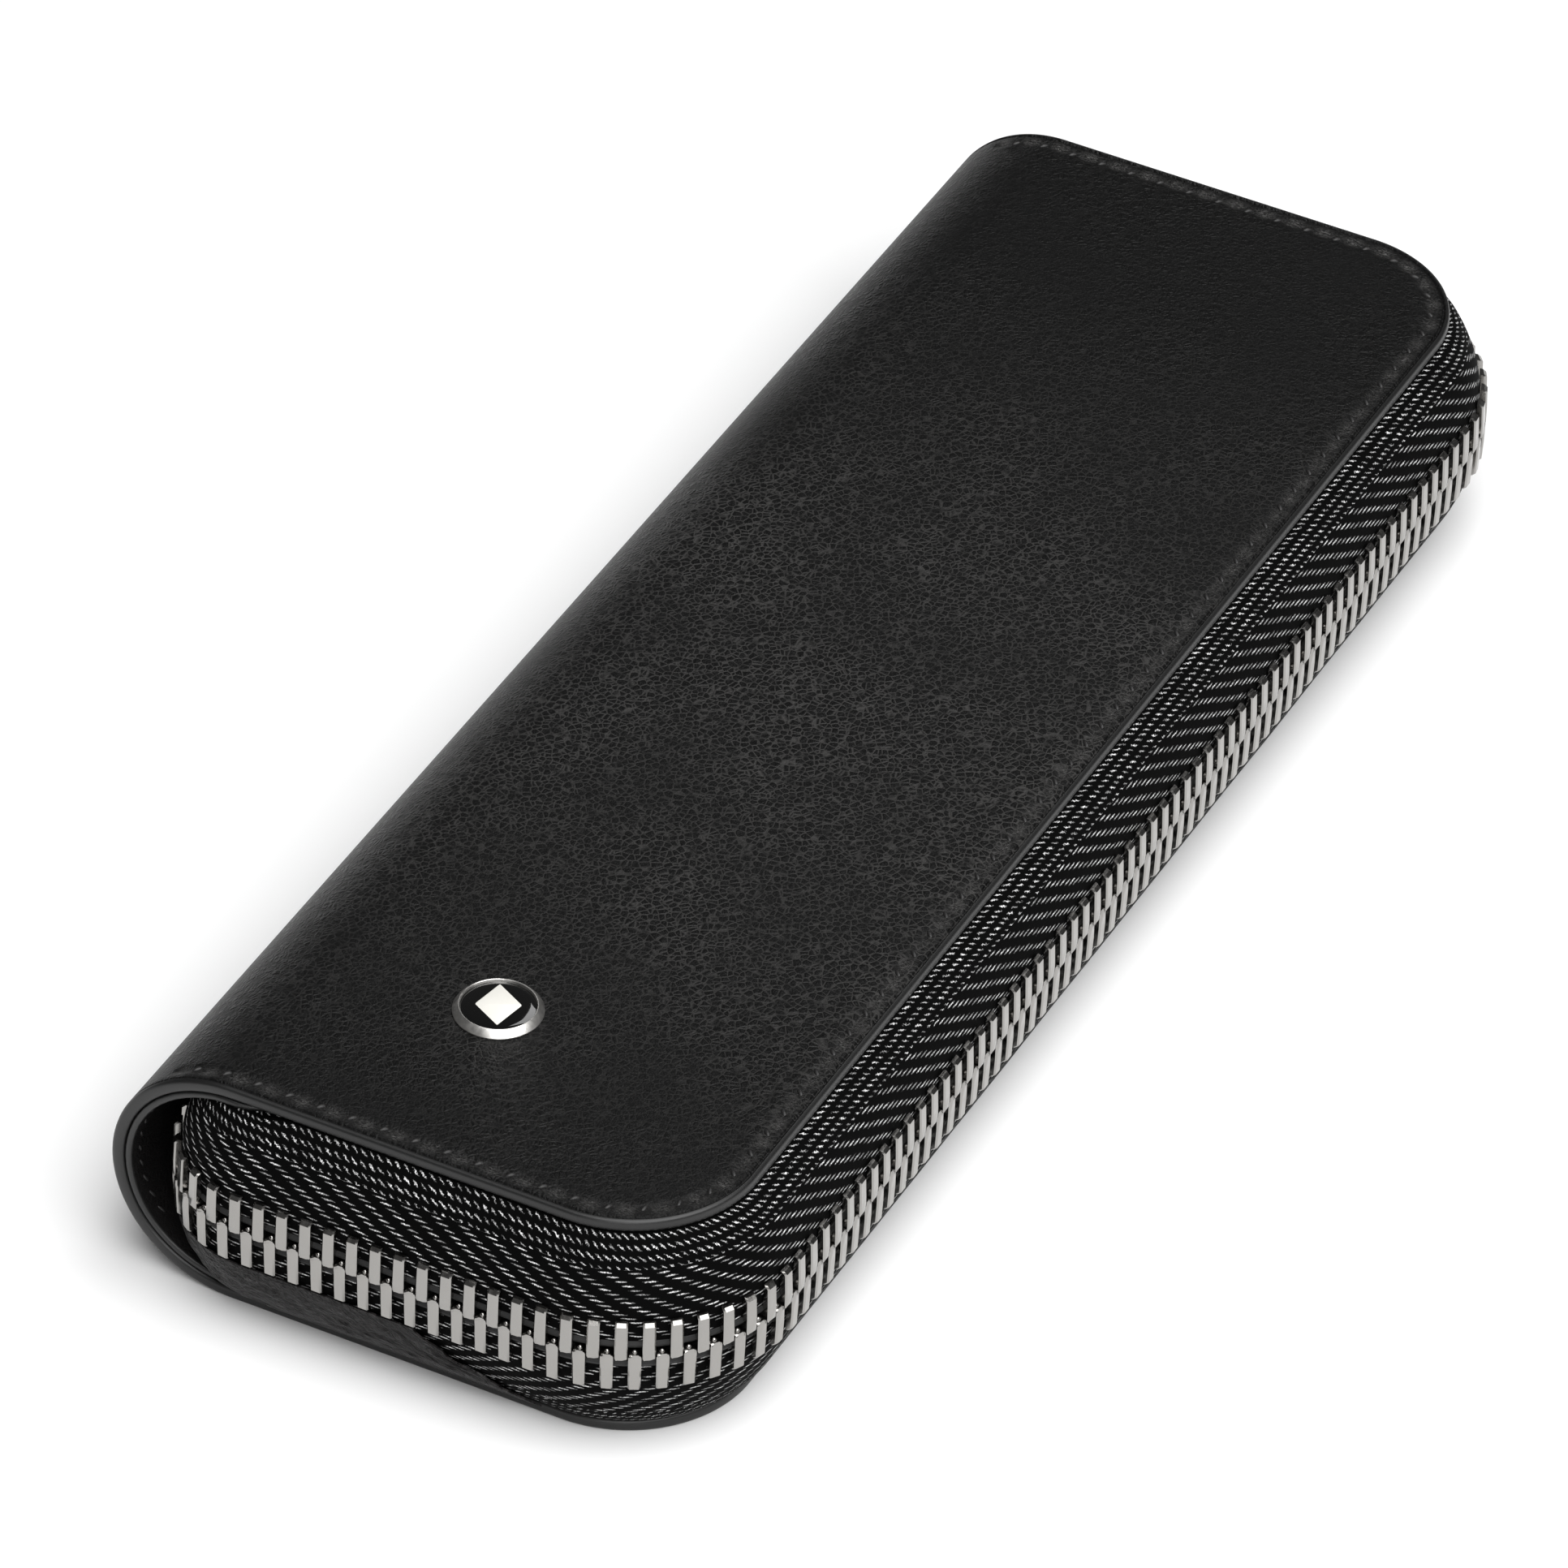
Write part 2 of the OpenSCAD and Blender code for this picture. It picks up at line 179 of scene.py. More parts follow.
def primitive(kind, name, **settings):
    """Adds a primitive, names it and opens it for editing, all selected."""
    deselect()
    getattr(bpy.ops.mesh, f"primitive_{kind}_add")(**settings)
    piece = bpy.context.object
    piece.name = piece.data.name = name
    bpy.ops.object.transform_apply(location=True, rotation=True, scale=True)
    bpy.ops.object.mode_set(mode="EDIT")
    bpy.ops.mesh.select_all(action="SELECT")
    return piece


def select(kind, test):
    """Selects the vertices, edges or faces whose middle and normal pass the test."""
    bpy.ops.mesh.select_mode(type={"verts": "VERT", "edges": "EDGE", "faces": "FACE"}[kind])
    bpy.ops.mesh.select_all(action="DESELECT")
    mesh = bmesh.from_edit_mesh(bpy.context.object.data)
    for part in getattr(mesh, kind):
        if kind == "faces":
            hit = test(part.calc_center_median(), part.normal)
        elif kind == "edges":
            hit = test(part.verts[0].co, part.verts[1].co)
        else:
            hit = test(part.co)
        if hit:
            part.select_set(True)
    mesh.select_flush_mode()
    bmesh.update_edit_mesh(bpy.context.object.data)


def move(x=0, y=0, z=0):
    bpy.ops.transform.translate(value=(x, y, z))


def resize(x=1, y=1, z=1, about=(0, 0, 0)):
    bpy.ops.transform.resize(value=(x, y, z), center_override=about)


def extrude(x=0, y=0, z=0):
    bpy.ops.mesh.extrude_region_move(TRANSFORM_OT_translate={"value": (x, y, z)})


def cut(point, normal):
    bpy.ops.mesh.select_all(action="SELECT")
    bpy.ops.mesh.bisect(plane_co=point, plane_no=normal, threshold=1e-5)


def merge():
    """Joins the open piece's doubled vertices."""
    bpy.ops.mesh.select_all(action="SELECT")
    bpy.ops.mesh.remove_doubles(threshold=1e-4)


def bevel(offset, segments, affect="EDGES"):
    bpy.ops.mesh.bevel(offset=offset, segments=segments, affect=affect)


def outwards():
    """Turns every face of the open piece outwards."""
    bpy.ops.mesh.select_all(action="SELECT")
    bpy.ops.mesh.normals_make_consistent(inside=False)


def face_outwards(piece):
    edit(piece)
    outwards()
    close()


def modify(piece, kind, **settings):
    """Adds a modifier and applies it."""
    activate(piece)
    modifier = piece.modifiers.new(kind.title(), kind)
    for key, value in settings.items():
        setattr(modifier, key, value)
    bpy.ops.object.modifier_apply(modifier=modifier.name)


def joined(pieces, name):
    deselect()
    for piece in pieces:
        piece.select_set(True)
    bpy.context.view_layer.objects.active = pieces[0]
    bpy.ops.object.join()
    pieces[0].name = pieces[0].data.name = name
    return pieces[0]


def copies(model, places, name):
    """One piece made of copies of the model, each with its own mesh, at the given matrices."""
    deselect()
    made = []
    for place in places:
        piece = model.copy()
        piece.data = model.data.copy()
        piece.data.transform(place)
        bpy.context.collection.objects.link(piece)
        made.append(piece)
    bpy.data.objects.remove(model)
    return joined(made, name)


def paint(piece, *materials):
    for material in materials:
        piece.data.materials.append(material)


def settle(piece, body=None, nodes=(), smooth=35):
    """Brings a finished piece to metres at the origin, gives it its body and hides the CAD nodes it replaces.
    """
    deselect()
    piece.data.transform(piece.matrix_basis)
    piece.matrix_basis = Matrix.Identity(4)
    piece.data.transform(Matrix.Scale(TO_METRES, 4))
    activate(piece)
    bpy.ops.object.shade_smooth_by_angle(angle=math.radians(smooth))
    if body:
        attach(piece, body)
    if nodes:
        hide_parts(*nodes)
    return piece


def keep_uv(piece, place):
    """Writes a UV map in millimetres from each vertex's place."""
    mesh = piece.data
    layer = mesh.uv_layers.get("UVMap") or mesh.uv_layers.new(name="UVMap")
    at = [place(v.co) for v in mesh.vertices]
    for loop in mesh.loops:
        layer.data[loop.index].uv = at[loop.vertex_index]


def smoothstep(a, b, x):
    t = min(1.0, max(0.0, (x - a) / (b - a)))
    return t * t * (3 - 2 * t)


def bell(x, width):
    return math.exp(-((x / width) ** 2))


# ---------------------------------------------------------------- paths


def make_path(x, y, heading, runs):
    """A path of straight runs (0, length) and left quarter turns (radius, None)."""
    path, s = [], 0.0
    for radius, length in runs:
        length = radius * math.pi / 2 if radius else length
        path.append((s, x, y, heading, radius, length))
        x, y, heading = step(path[-1], length)
        s += length
    return path


def step(run, d):
    _, x, y, h, radius, _ = run
    if not radius:
        return x + d * math.cos(h), y + d * math.sin(h), h
    a = d / radius
    x += radius * (math.sin(h + a) - math.sin(h))
    y += radius * (math.cos(h) - math.cos(h + a))
    return x, y, h + a


def path_length(path):
    return path[-1][0] + path[-1][5]


def path_point(path, s):
    run = [r for r in path if r[0] <= s][-1] if s > 0 else path[0]
    return step(run, s - run[0])


def path_locate(path, x, y, beyond=0.0):
    """(distance along, distance out) of a point beside the path; one past its ends is this far out."""
    best = None
    for s0, x0, y0, h, radius, length in path:
        ahead = Vector((math.cos(h), math.sin(h)))
        out = Vector((math.sin(h), -math.cos(h)))
        p = Vector((x - x0, y - y0))
        if radius:
            q = p + out * radius
            angle = math.atan2(q.dot(ahead), q.dot(out))
            if not -0.02 <= angle <= math.pi / 2 + 0.02:
                continue
            found = (s0 + angle * radius, q.length - radius)
        else:
            along = p.dot(ahead)
            if not -0.5 <= along <= length + 0.5:
                continue
            found = (s0 + along, p.dot(out))
        if best is None or abs(found[1]) < abs(best[1]):
            best = found
    return best or (0.0, beyond)


def chain_path(sizes):
    """The zip chain's middle line, from the front tail round to the rear tail."""
    chain_y = END_Y + sizes.overhang
    turn = sizes.corner_r + sizes.overhang
    end_run = EDGE_X - sizes.corner_r - FRONT_X
    side = 2 * (END_Y - sizes.corner_r)
    return make_path(
        TAIL_X, -chain_y + TAIL_R + TAIL_L, -math.pi / 2,
        [(0, TAIL_L), (TAIL_R, None), (0, end_run), (turn, None), (0, side),
         (turn, None), (0, end_run), (TAIL_R, None), (0, TAIL_L)],
    )


def sweep(path, steps=24):
    """Carries the open piece's selected outline, drawn at the path's start, along the path."""
    for _, x, y, heading, radius, length in path:
        if radius:
            centre = (x - radius * math.sin(heading), y + radius * math.cos(heading), 0)
            bpy.ops.mesh.spin(steps=steps, angle=-math.pi / 2, center=centre, axis=(0, 0, 1))
        else:
            extrude(length * math.cos(heading), length * math.sin(heading))


def draw_line(name, points):
    """A chain of edges through the points, left open for editing with all of it selected."""
    bpy.context.scene.tool_settings.mesh_select_mode = (True, False, False)
    piece = primitive("plane", name, size=1)
    bpy.ops.mesh.merge(type="CENTER")
    move(*points[0])
    for a, b in zip(points, points[1:]):
        extrude(*(Vector(b) - Vector(a)))
    bpy.ops.mesh.select_all(action="SELECT")
    return piece


# ---------------------------------------------------------------- materials


def add(tree, kind, links=None, **settings):
    """Adds a shader node with its settings; links maps inputs to sockets or values."""
    node = tree.nodes.new("ShaderNode" + kind)
    for key, value in settings.items():
        setattr(node, key, value)
    for key, value in (links or {}).items():
        if isinstance(value, bpy.types.NodeSocket):
            tree.links.new(value, node.inputs[key])
        else:
            node.inputs[key].default_value = value
    return node


def new_material(name):
    material = bpy.data.materials.get(name)
    if material:
        return material, None, None
    material = bpy.data.materials.new(name)
    material.use_nodes = True
    tree = material.node_tree
    return material, tree, tree.nodes["Principled BSDF"]


def ramp(tree, value, low, high, to_low=0.0, to_high=1.0):
    return add(tree, "MapRange", {"Value": value, "From Min": low, "From Max": high,
                                  "To Min": to_low, "To Max": to_high}).outputs[0]


def maths(tree, operation, a, b=0.0, c=0.0):
    return add(tree, "Math", {0: a, 1: b, 2: c}, operation=operation).outputs[0]


def calf(name, colour, high, grain, roughness, relief, crease=0.0):
    """Calf leather, aniline black: flat pebbles, as wide as the grain, parted by fine creases. The creases
    carry a painted highlight, a paler colour that is strongest near the middle of the case's length, where
    the sheen light falls, and the nap is bruised paler where a seam pulls at it. crease adds loose folds
    under the pebbles, with a painted highlight on their crests."""
    material, tree, shader = new_material(name)
    if tree is None:
        return material
    uv = add(tree, "UVMap", uv_map="UVMap").outputs[0]
    drift = add(tree, "TexNoise", {"Vector": uv, "Scale": 1.1, "Detail": 2.0}).outputs["Color"]
    bent = add(tree, "VectorMath", {0: drift, 1: (0.22, 0.22, 0.0), 2: uv},
               operation="MULTIPLY_ADD").outputs[0]
    cells = add(tree, "TexVoronoi", {"Vector": bent, "Scale": 1 / grain},
                feature="DISTANCE_TO_EDGE").outputs[0]
    small = add(tree, "TexVoronoi", {"Vector": bent, "Scale": 2.3 / grain},
                feature="DISTANCE_TO_EDGE").outputs[0]
    pebble = ramp(tree, cells, 0.0, 0.2)
    patch = add(tree, "TexNoise", {"Vector": uv, "Scale": 0.8, "Detail": 2.0}).outputs[0]
    cloud = add(tree, "TexNoise", {"Vector": uv, "Scale": 0.05, "Detail": 3.0}).outputs[0]
    depth = maths(tree, "MULTIPLY", ramp(tree, cloud, 0.36, 0.6, 0.35, 1.0),
                  ramp(tree, patch, 0.38, 0.6, 0.25, 1.0))
    height = maths(tree, "MULTIPLY_ADD", pebble, depth, maths(tree, "MULTIPLY", ramp(tree, small, 0.0, 0.25),
                                                              0.22))
    if crease:
        lie = add(tree, "Mapping", {"Vector": bent, "Rotation": (0, 0, 0.2),
                                    "Scale": (1.3, 1.9, 1.0)}).outputs[0]
        folds = add(tree, "TexNoise", {"Vector": lie, "Scale": 1.1, "Detail": 4.0, "Roughness": 0.6,
                                       "Distortion": 0.6}).outputs[0]
        height = maths(tree, "MULTIPLY_ADD", folds, crease, height)
    nap = add(tree, "Attribute", attribute_name="nap").outputs["Fac"]
    lint = add(tree, "TexNoise", {"Vector": add(tree, "Mapping",
                                                {"Vector": uv, "Rotation": (0, 0, 0.7),
                                                 "Scale": (1.0, 2.6, 1.0)}).outputs[0],
                                  "Scale": 3.2, "Detail": 4.0, "Roughness": 0.7, "Distortion": 1.0}).outputs[0]
    bruise = maths(tree, "MULTIPLY", nap, ramp(tree, lint, 0.44, 0.58))
    height = maths(tree, "MULTIPLY_ADD", bruise, 0.8, height)
    bump = add(tree, "Bump", {"Height": height, "Strength": relief, "Distance": 0.00012}).outputs[0]
    # Painted highlight: the crease lines get a paler colour, strongest near the middle of the length, where
    # the sheen light falls on the top.
    lengthwise = maths(tree, "ABSOLUTE", maths(tree, "ADD", add(tree, "SeparateXYZ", {0: uv}).outputs[1],
                                               10.0))
    painted_sheen_mask = maths(tree, "MULTIPLY", ramp(tree, lengthwise, 70.0, 25.0, 0.1, 1.0),
                 ramp(tree, cloud, 0.35, 0.6, 0.5, 1.0))
    seam = maths(tree, "MULTIPLY", ramp(tree, cells, 0.13, 0.02, 0.0, 0.55),
                 maths(tree, "MULTIPLY", ramp(tree, patch, 0.3, 0.52, 0.3, 1.0), painted_sheen_mask))
    mix = add(tree, "Mix", {"Factor": seam, 6: colour, 7: high}, data_type="RGBA").outputs[2]
    # Painted highlight: the crests of the folds take the paler colour.
    if crease:
        mix = add(tree, "Mix", {"Factor": ramp(tree, folds, 0.5, 0.68, 0.0, min(1.0, crease / 4)), 6: mix,
                                7: high}, data_type="RGBA").outputs[2]
    mix = add(tree, "Mix", {"Factor": bruise, 6: mix, 7: linear("5c5b5a")}, data_type="RGBA").outputs[2]
    tree.links.new(mix, shader.inputs["Base Color"])
    tree.links.new(ramp(tree, height, 0.2, 1.2, roughness + 0.08, roughness - 0.04),
                   shader.inputs["Roughness"])
    tree.links.new(bump, shader.inputs["Normal"])
    shader.inputs["Specular IOR Level"].default_value = 0.14
    return material


def edge_paint():
    """Edge paint: several burnished coats of acrylic, smooth and a little glossy, with faint waves
    about 1.1 mm long."""
    material, tree, shader = new_material("edge_paint")
    if tree is None:
        return material
    uv = add(tree, "TexCoord").outputs["Object"]
    wave = add(tree, "TexNoise", {"Vector": uv, "Scale": 900.0, "Detail": 2.0}).outputs[0]
    bump = add(tree, "Bump", {"Height": wave, "Strength": 0.25, "Distance": 0.00004}).outputs[0]
    tree.links.new(bump, shader.inputs["Normal"])
    shader.inputs["Base Color"].default_value = linear("121212")
    shader.inputs["Roughness"].default_value = 0.4
    shader.inputs["Specular IOR Level"].default_value = 0.5
    return material


def tape_weave(colours):
    """Herringbone polyester tape, a warp-faced twill. Each warp yarn floats 1.3 mm over the weft, once
    every 2.7 mm and 0.69 mm on from the yarn beside it, so the floats make slanted rows on black; the
    bright flecks on the floats' crowns are a painted highlight in the base colour. By the cover, broader
    slanted floats repeat every 0.84 mm. The real yarn is about 0.28 mm wide, too fine to show, and is
    drawn at 0.37 mm."""
    material, tree, shader = new_material("herringbone_tape")
    if tree is None:
        return material
    uv = add(tree, "UVMap", uv_map="UVMap").outputs[0]
    wander = add(tree, "TexNoise", {"Vector": uv, "Scale": 0.7, "Detail": 2.0}).outputs["Color"]
    laid = add(tree, "VectorMath", {0: wander, 1: (0.5, 0.22, 0.0), 2: uv},
               operation="MULTIPLY_ADD").outputs[0]
    fray = add(tree, "TexNoise", {"Vector": uv, "Scale": 5.0, "Detail": 1.0}).outputs["Color"]
    laid = add(tree, "VectorMath", {0: fray, 1: (0.6, 0.08, 0.0), 2: laid},
               operation="MULTIPLY_ADD").outputs[0]
    along, across = (add(tree, "SeparateXYZ", {0: laid}).outputs[i] for i in (0, 1))

    def floats(yarn, repeat, step, slant, share, wide):
        """Yarns of one width side by side; each floats once per repeat, a step on from the one before."""
        column = maths(tree, "MULTIPLY", across, 1 / yarn)
        number = maths(tree, "FLOOR", column)
        side = maths(tree, "SUBTRACT", maths(tree, "FRACT", column), 0.5)
        start = maths(tree, "MULTIPLY_ADD", number, -step, along)
        start = maths(tree, "MULTIPLY_ADD", side, -slant, start)
        turn = maths(tree, "MULTIPLY", start, 1 / repeat)
        place = maths(tree, "SUBTRACT", maths(tree, "FRACT", turn), 0.5)
        cell = add(tree, "CombineXYZ", {0: number, 1: maths(tree, "FLOOR", turn), 2: repeat}).outputs[0]
        chance = add(tree, "TexWhiteNoise", {"Vector": cell}, noise_dimensions="3D").outputs[0]
        far = maths(tree, "ADD", maths(tree, "POWER", maths(tree, "MULTIPLY", place, 2 / share), 2.0),
                    maths(tree, "POWER", maths(tree, "MULTIPLY", side, 2 / wide), 2.0))
        return ramp(tree, far, 1.0, 0.25), ramp(tree, chance, 0.0, 0.8, 0.35, 1.0)

    crown_a, chance_a = floats(0.92, 0.84, 0.42, 1.3, 0.42, 0.62)
    crown_b, chance_b = floats(0.37, 2.7, 0.69, 0.3, 0.48, 0.5)
    inner = maths(tree, "LESS_THAN", across, 6.9)
    crown = add(tree, "Mix", {"Factor": inner, "A": crown_b, "B": crown_a}).outputs[0]
    chance = add(tree, "Mix", {"Factor": inner, "A": chance_b, "B": chance_a}).outputs[0]
    fine = add(tree, "TexNoise", {"Vector": uv, "Scale": 7.0, "Detail": 2.0}).outputs[0]
    # shine paints a highlight, the bright flecks, into the base colour on the floats' crowns.
    shine = maths(tree, "MULTIPLY", maths(tree, "MULTIPLY", crown, chance),
                  ramp(tree, fine, 0.35, 0.6, 0.15, 1.0))
    mix = add(tree, "Mix", {"Factor": shine, 6: colours.tape, 7: colours.tape_fleck},
              data_type="RGBA").outputs[2]
    bump = add(tree, "Bump", {"Height": crown, "Strength": 1.0, "Distance": 0.00016}).outputs[0]
    tree.links.new(mix, shader.inputs["Base Color"])
    tree.links.new(bump, shader.inputs["Normal"])
    tree.links.new(ramp(tree, shine, 0.0, 1.0, 0.8, 0.42), shader.inputs["Roughness"])
    shader.inputs["Specular IOR Level"].default_value = 0.04
    return material


def metal(name, colour, roughness):
    """Nickel-plated zinc, barrel polished: bright, with faint tumbling marks.
    The marks are too fine to show at their real size and are drawn at about 0.7 mm."""
    material, tree, shader = new_material(name)
    if tree is None:
        return material
    at = add(tree, "TexCoord").outputs["Object"]
    marks = add(tree, "TexNoise", {"Vector": at, "Scale": 1500.0, "Detail": 2.0}).outputs[0]
    tree.links.new(ramp(tree, marks, 0.3, 0.7, roughness, roughness + 0.1), shader.inputs["Roughness"])
    bump = add(tree, "Bump", {"Height": marks, "Strength": 0.15, "Distance": 0.00003}).outputs[0]
    tree.links.new(bump, shader.inputs["Normal"])
    shader.inputs["Base Color"].default_value = colour
    shader.inputs["Metallic"].default_value = 1.0
    return material


def plain(name, colour, roughness, grain=2500.0, relief=0.2, coat=0.0):
    """A dense surface with a fine grain, which is given in repeats to the metre: thread, card or resin."""
    material, tree, shader = new_material(name)
    if tree is None:
        return material
    at = add(tree, "TexCoord").outputs["Object"]
    fine = add(tree, "TexNoise", {"Vector": at, "Scale": grain, "Detail": 3.0}).outputs[0]
    bump = add(tree, "Bump", {"Height": fine, "Strength": relief, "Distance": 0.00005}).outputs[0]
    tree.links.new(bump, shader.inputs["Normal"])
    dark = tuple(c * 0.75 for c in colour[:3]) + (1.0,)
    mix = add(tree, "Mix", {"Factor": fine, 6: dark, 7: colour}, data_type="RGBA").outputs[2]
    tree.links.new(mix, shader.inputs["Base Color"])
    shader.inputs["Roughness"].default_value = roughness
    shader.inputs["Coat Weight"].default_value = coat
    return material


def cover_leather(case):
    """Smooth calf of the outside: satin, with a small even grain."""
    return calf("calf_leather", case.colours.leather, case.colours.leather_worn, case.sizes.grain, 0.36, 0.8)


def lining_leather(case):
    """Leather of the inside: duller than the cover, with a slightly finer grain and hardly a fold."""
    # 2e2c2c is a painted highlight: the paler colour of the lining's crease lines and fold crests.
    return calf("lining_leather", case.colours.lining, linear("2e2c2c"), 0.6, 0.5, 0.6, crease=0.25)


def creased_leather(case):
    """Thin leather pressed round the tape's foot: gathered into wrinkles, with a painted highlight, a paler
    colour, on their backs.
    """
    # 3a3838 is a painted highlight on the wrinkles' crests and crease lines.
    return calf("creased_leather", case.colours.lining, linear("3a3838"), 0.7, 0.36, 1.0, crease=9.0)


def nickel(case):
    """Plated metal of the zip: smooth enough to mirror the lights as small bright spots."""
    return metal("nickel_plate", case.colours.nickel, 0.16)


def thread():
    """Waxed linen thread: dark, with the soft shine of wax."""
    return plain("waxed_thread", linear("1a1919"), 0.5, 6000.0, 0.5)


# ---------------------------------------------------------------- folded sheets


def edge_distance(u, y, sizes, inset=0.0):
    """Distance in from the flat pattern's open edges."""
    corner_x, corner_y = EDGE_X - sizes.corner_r, END_Y - sizes.corner_r
    if u > corner_x and abs(y) > corner_y:
        return sizes.corner_r - math.hypot(u - corner_x, abs(y) - corner_y) - inset
    return min(EDGE_X - u, END_Y - abs(y)) - inset


def fold(u, depth, top):
    """Place in the side view of a point of the flat pattern, depth below the outer skin."""
    if u >= SPINE_X:
        x, up = u, depth
    else:
        angle = (SPINE_X - u) / MID_Z
        x = SPINE_X - (MID_Z - depth) * math.sin(angle)
        up = MID_Z - (MID_Z - depth) * math.cos(angle)
    return x, (CASE_H - up if top else up)


def stitch_path(sizes):
    """The stitch line on the flat pattern, from the spine round to the spine."""
    turn = sizes.corner_r - sizes.stitch_inset
    start = SPINE_X - 6.0
    run = EDGE_X - sizes.corner_r - start
    side = 2 * (END_Y - sizes.corner_r)
    return make_path(start, sizes.stitch_inset - END_Y, 0.0,
                     [(0, run), (turn, None), (0, side), (turn, None), (0, run)])


def folded_sheet(name, sizes, top, thickness, inset, rings, relief, base_depth, step_l=0.42, field=30):
    """One half of a sheet that runs from a panel round to the middle of the spine.
    Its rim is swept flat, outer skin up, round the three open sides, its field bridged, and it is folded."""
    seam = SPINE_X - MID_Z * math.pi / 2
    half, radius = END_Y - inset, sizes.corner_r - inset
    run, side = EDGE_X - sizes.corner_r - seam, 2 * (END_Y - sizes.corner_r)
    path = make_path(seam, -half, 0.0, [(0, run), (radius, None), (0, side), (radius, None), (0, run)])
    r = min(0.36, thickness * 0.4)
    curve = [(r * (1 - math.sin(a)), -r * (1 - math.cos(a))) for a in (math.pi / 2, math.pi / 3, math.pi / 6,
                                                                       0.0)]
    upper = curve + [(d, 0.0) for d in rings]
    lower = [(d, -thickness - z) for d, z in curve] + [(d, -thickness) for d in rings[2::3]]
    if lower[-1][0] < rings[-1]:
        lower.append((rings[-1], -thickness))
    outline = list(reversed(lower)) + upper
    piece = draw_line(name, [(seam, -half + d, z) for d, z in outline])
    sweep(path, round(radius * math.pi / 2 / step_l))
    merge()
    select("edges", lambda a, b: abs(abs(a.x - b.x) - run) < 0.01)
    bpy.ops.mesh.subdivide(number_cuts=round(run / step_l))
    select("edges", lambda a, b: abs(abs(a.y - b.y) - side) < 0.01)
    bpy.ops.mesh.subdivide(number_cuts=round(side / step_l))
    inner_y, corner_x = half - rings[-1], EDGE_X - sizes.corner_r
    for z in (0.0, -thickness):
        def on_loop(v):
            return abs(v.z - z) < 1e-4 and abs(edge_distance(v.x, v.y, sizes, inset) - rings[-1]) < 0.02
        select("edges", lambda a, b: on_loop(a) and on_loop(b) and abs(a.y - b.y) < 1e-4
               and abs(abs(a.y) - inner_y) < 1e-3 and max(a.x, b.x) < corner_x + 1e-3)
        bpy.ops.mesh.bridge_edge_loops(number_cuts=field, interpolation="LINEAR")
        select("edges", lambda a, b: abs(a.z - z) < 1e-4 and abs(b.z - z) < 1e-4
               and ((on_loop(a) and on_loop(b) and min(a.x, b.x) > corner_x - 1e-3)
                    or (abs(a.x - corner_x) < 1e-3 and abs(b.x - corner_x) < 1e-3
                        and max(abs(a.y), abs(b.y)) < inner_y + 1e-3)))
        bpy.ops.mesh.edge_face_add()
    select("edges", lambda a, b: abs(a.x - seam) < 1e-3 and abs(b.x - seam) < 1e-3)
    bpy.ops.mesh.edge_face_add()
    outwards()
    close()
    for face in piece.data.polygons:
        c = face.center
        face.material_index = int(edge_distance(c.x, c.y, sizes, inset) < r * 1.02 and c.x > seam + 1e-3)
    keep_uv(piece, lambda co: (co.x, co.y))
    for v in piece.data.vertices:
        u, y = v.co.x, v.co.y
        depth = -v.co.z + base_depth(u, y)
        if v.co.z > -thickness / 2:
            depth -= relief(u, y)
        x, z = fold(u, depth, top)
        v.co = (x, y, z)
    face_outwards(piece)
    return piece


def cross_fold(piece):
    """Bakes a sheet's placement into its mesh."""
    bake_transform(piece)


def make_covers(case):
    """Outer leather: cut, skived and folded round the spine; its rim is stitched and edge-painted."""
    sizes = case.sizes
    stitches = stitch_path(sizes)
    count = round(path_length(stitches) / sizes.stitch_pitch)
    pitch = path_length(stitches) / count

    def relief(u, y):
        """Height above the flat: a creased line by the edge, a seam that pulls in at each hole."""
        d = edge_distance(u, y, sizes)
        s, off = path_locate(stitches, u, y, PAST_ENDS)
        line = bell(d - 0.6, 0.11) * -0.22
        seam = 0.0
        if abs(off) < 2.2 and u > SPINE_X - 7.5:
            pull = 0.5 - 0.5 * math.cos(2 * math.pi * s / pitch)
            seam = bell(off, 0.42) * (-0.2 + 0.1 * pull) + bell(off + 0.75, 0.4) * 0.07 * pull
            seam += bell(off, 0.9) * 0.03 * noise.noise(Vector((u * 0.9, y * 0.9, 0)))
        return min(0.0, line + seam) if u > SPINE_X - 4 else line + seam

    rings = (0.46, 0.56, 0.66, 0.76, 0.95, 1.15, 1.35, 1.5, 1.65, 1.8, 1.95, 2.1, 2.3, 2.55, 2.9, 3.4, 4.5,
             7.0, 10.0)
    for top, name, node, body in ((False, "cover_lower", "cover_bottom", "base"),
                                  (True, "cover_upper", "cover_top", "lid")):
        piece = folded_sheet(name, sizes, top, sizes.leather_t, 0.0, rings, relief, lambda u, y: 0.0)
        nap = piece.data.attributes.new("nap", "FLOAT", "POINT")
        flat = piece.data.uv_layers["UVMap"].data
        for loop in piece.data.loops:
            u, y = flat[loop.index].uv
            s, off = path_locate(stitches, u, y, PAST_ENDS)
            swell = 0.5 + 0.5 * math.cos(2 * math.pi * (s / pitch + 0.03))
            near = bell(off - 0.3, 0.5) * (0.12 + 0.88 * swell ** 2)
            nap.data[loop.vertex_index].value = near if abs(off) < 2.2 else 0.0
        paint(piece, cover_leather(case), edge_paint())
        settle(piece, None, (node, "cover_spine"))
        cross_fold(piece)


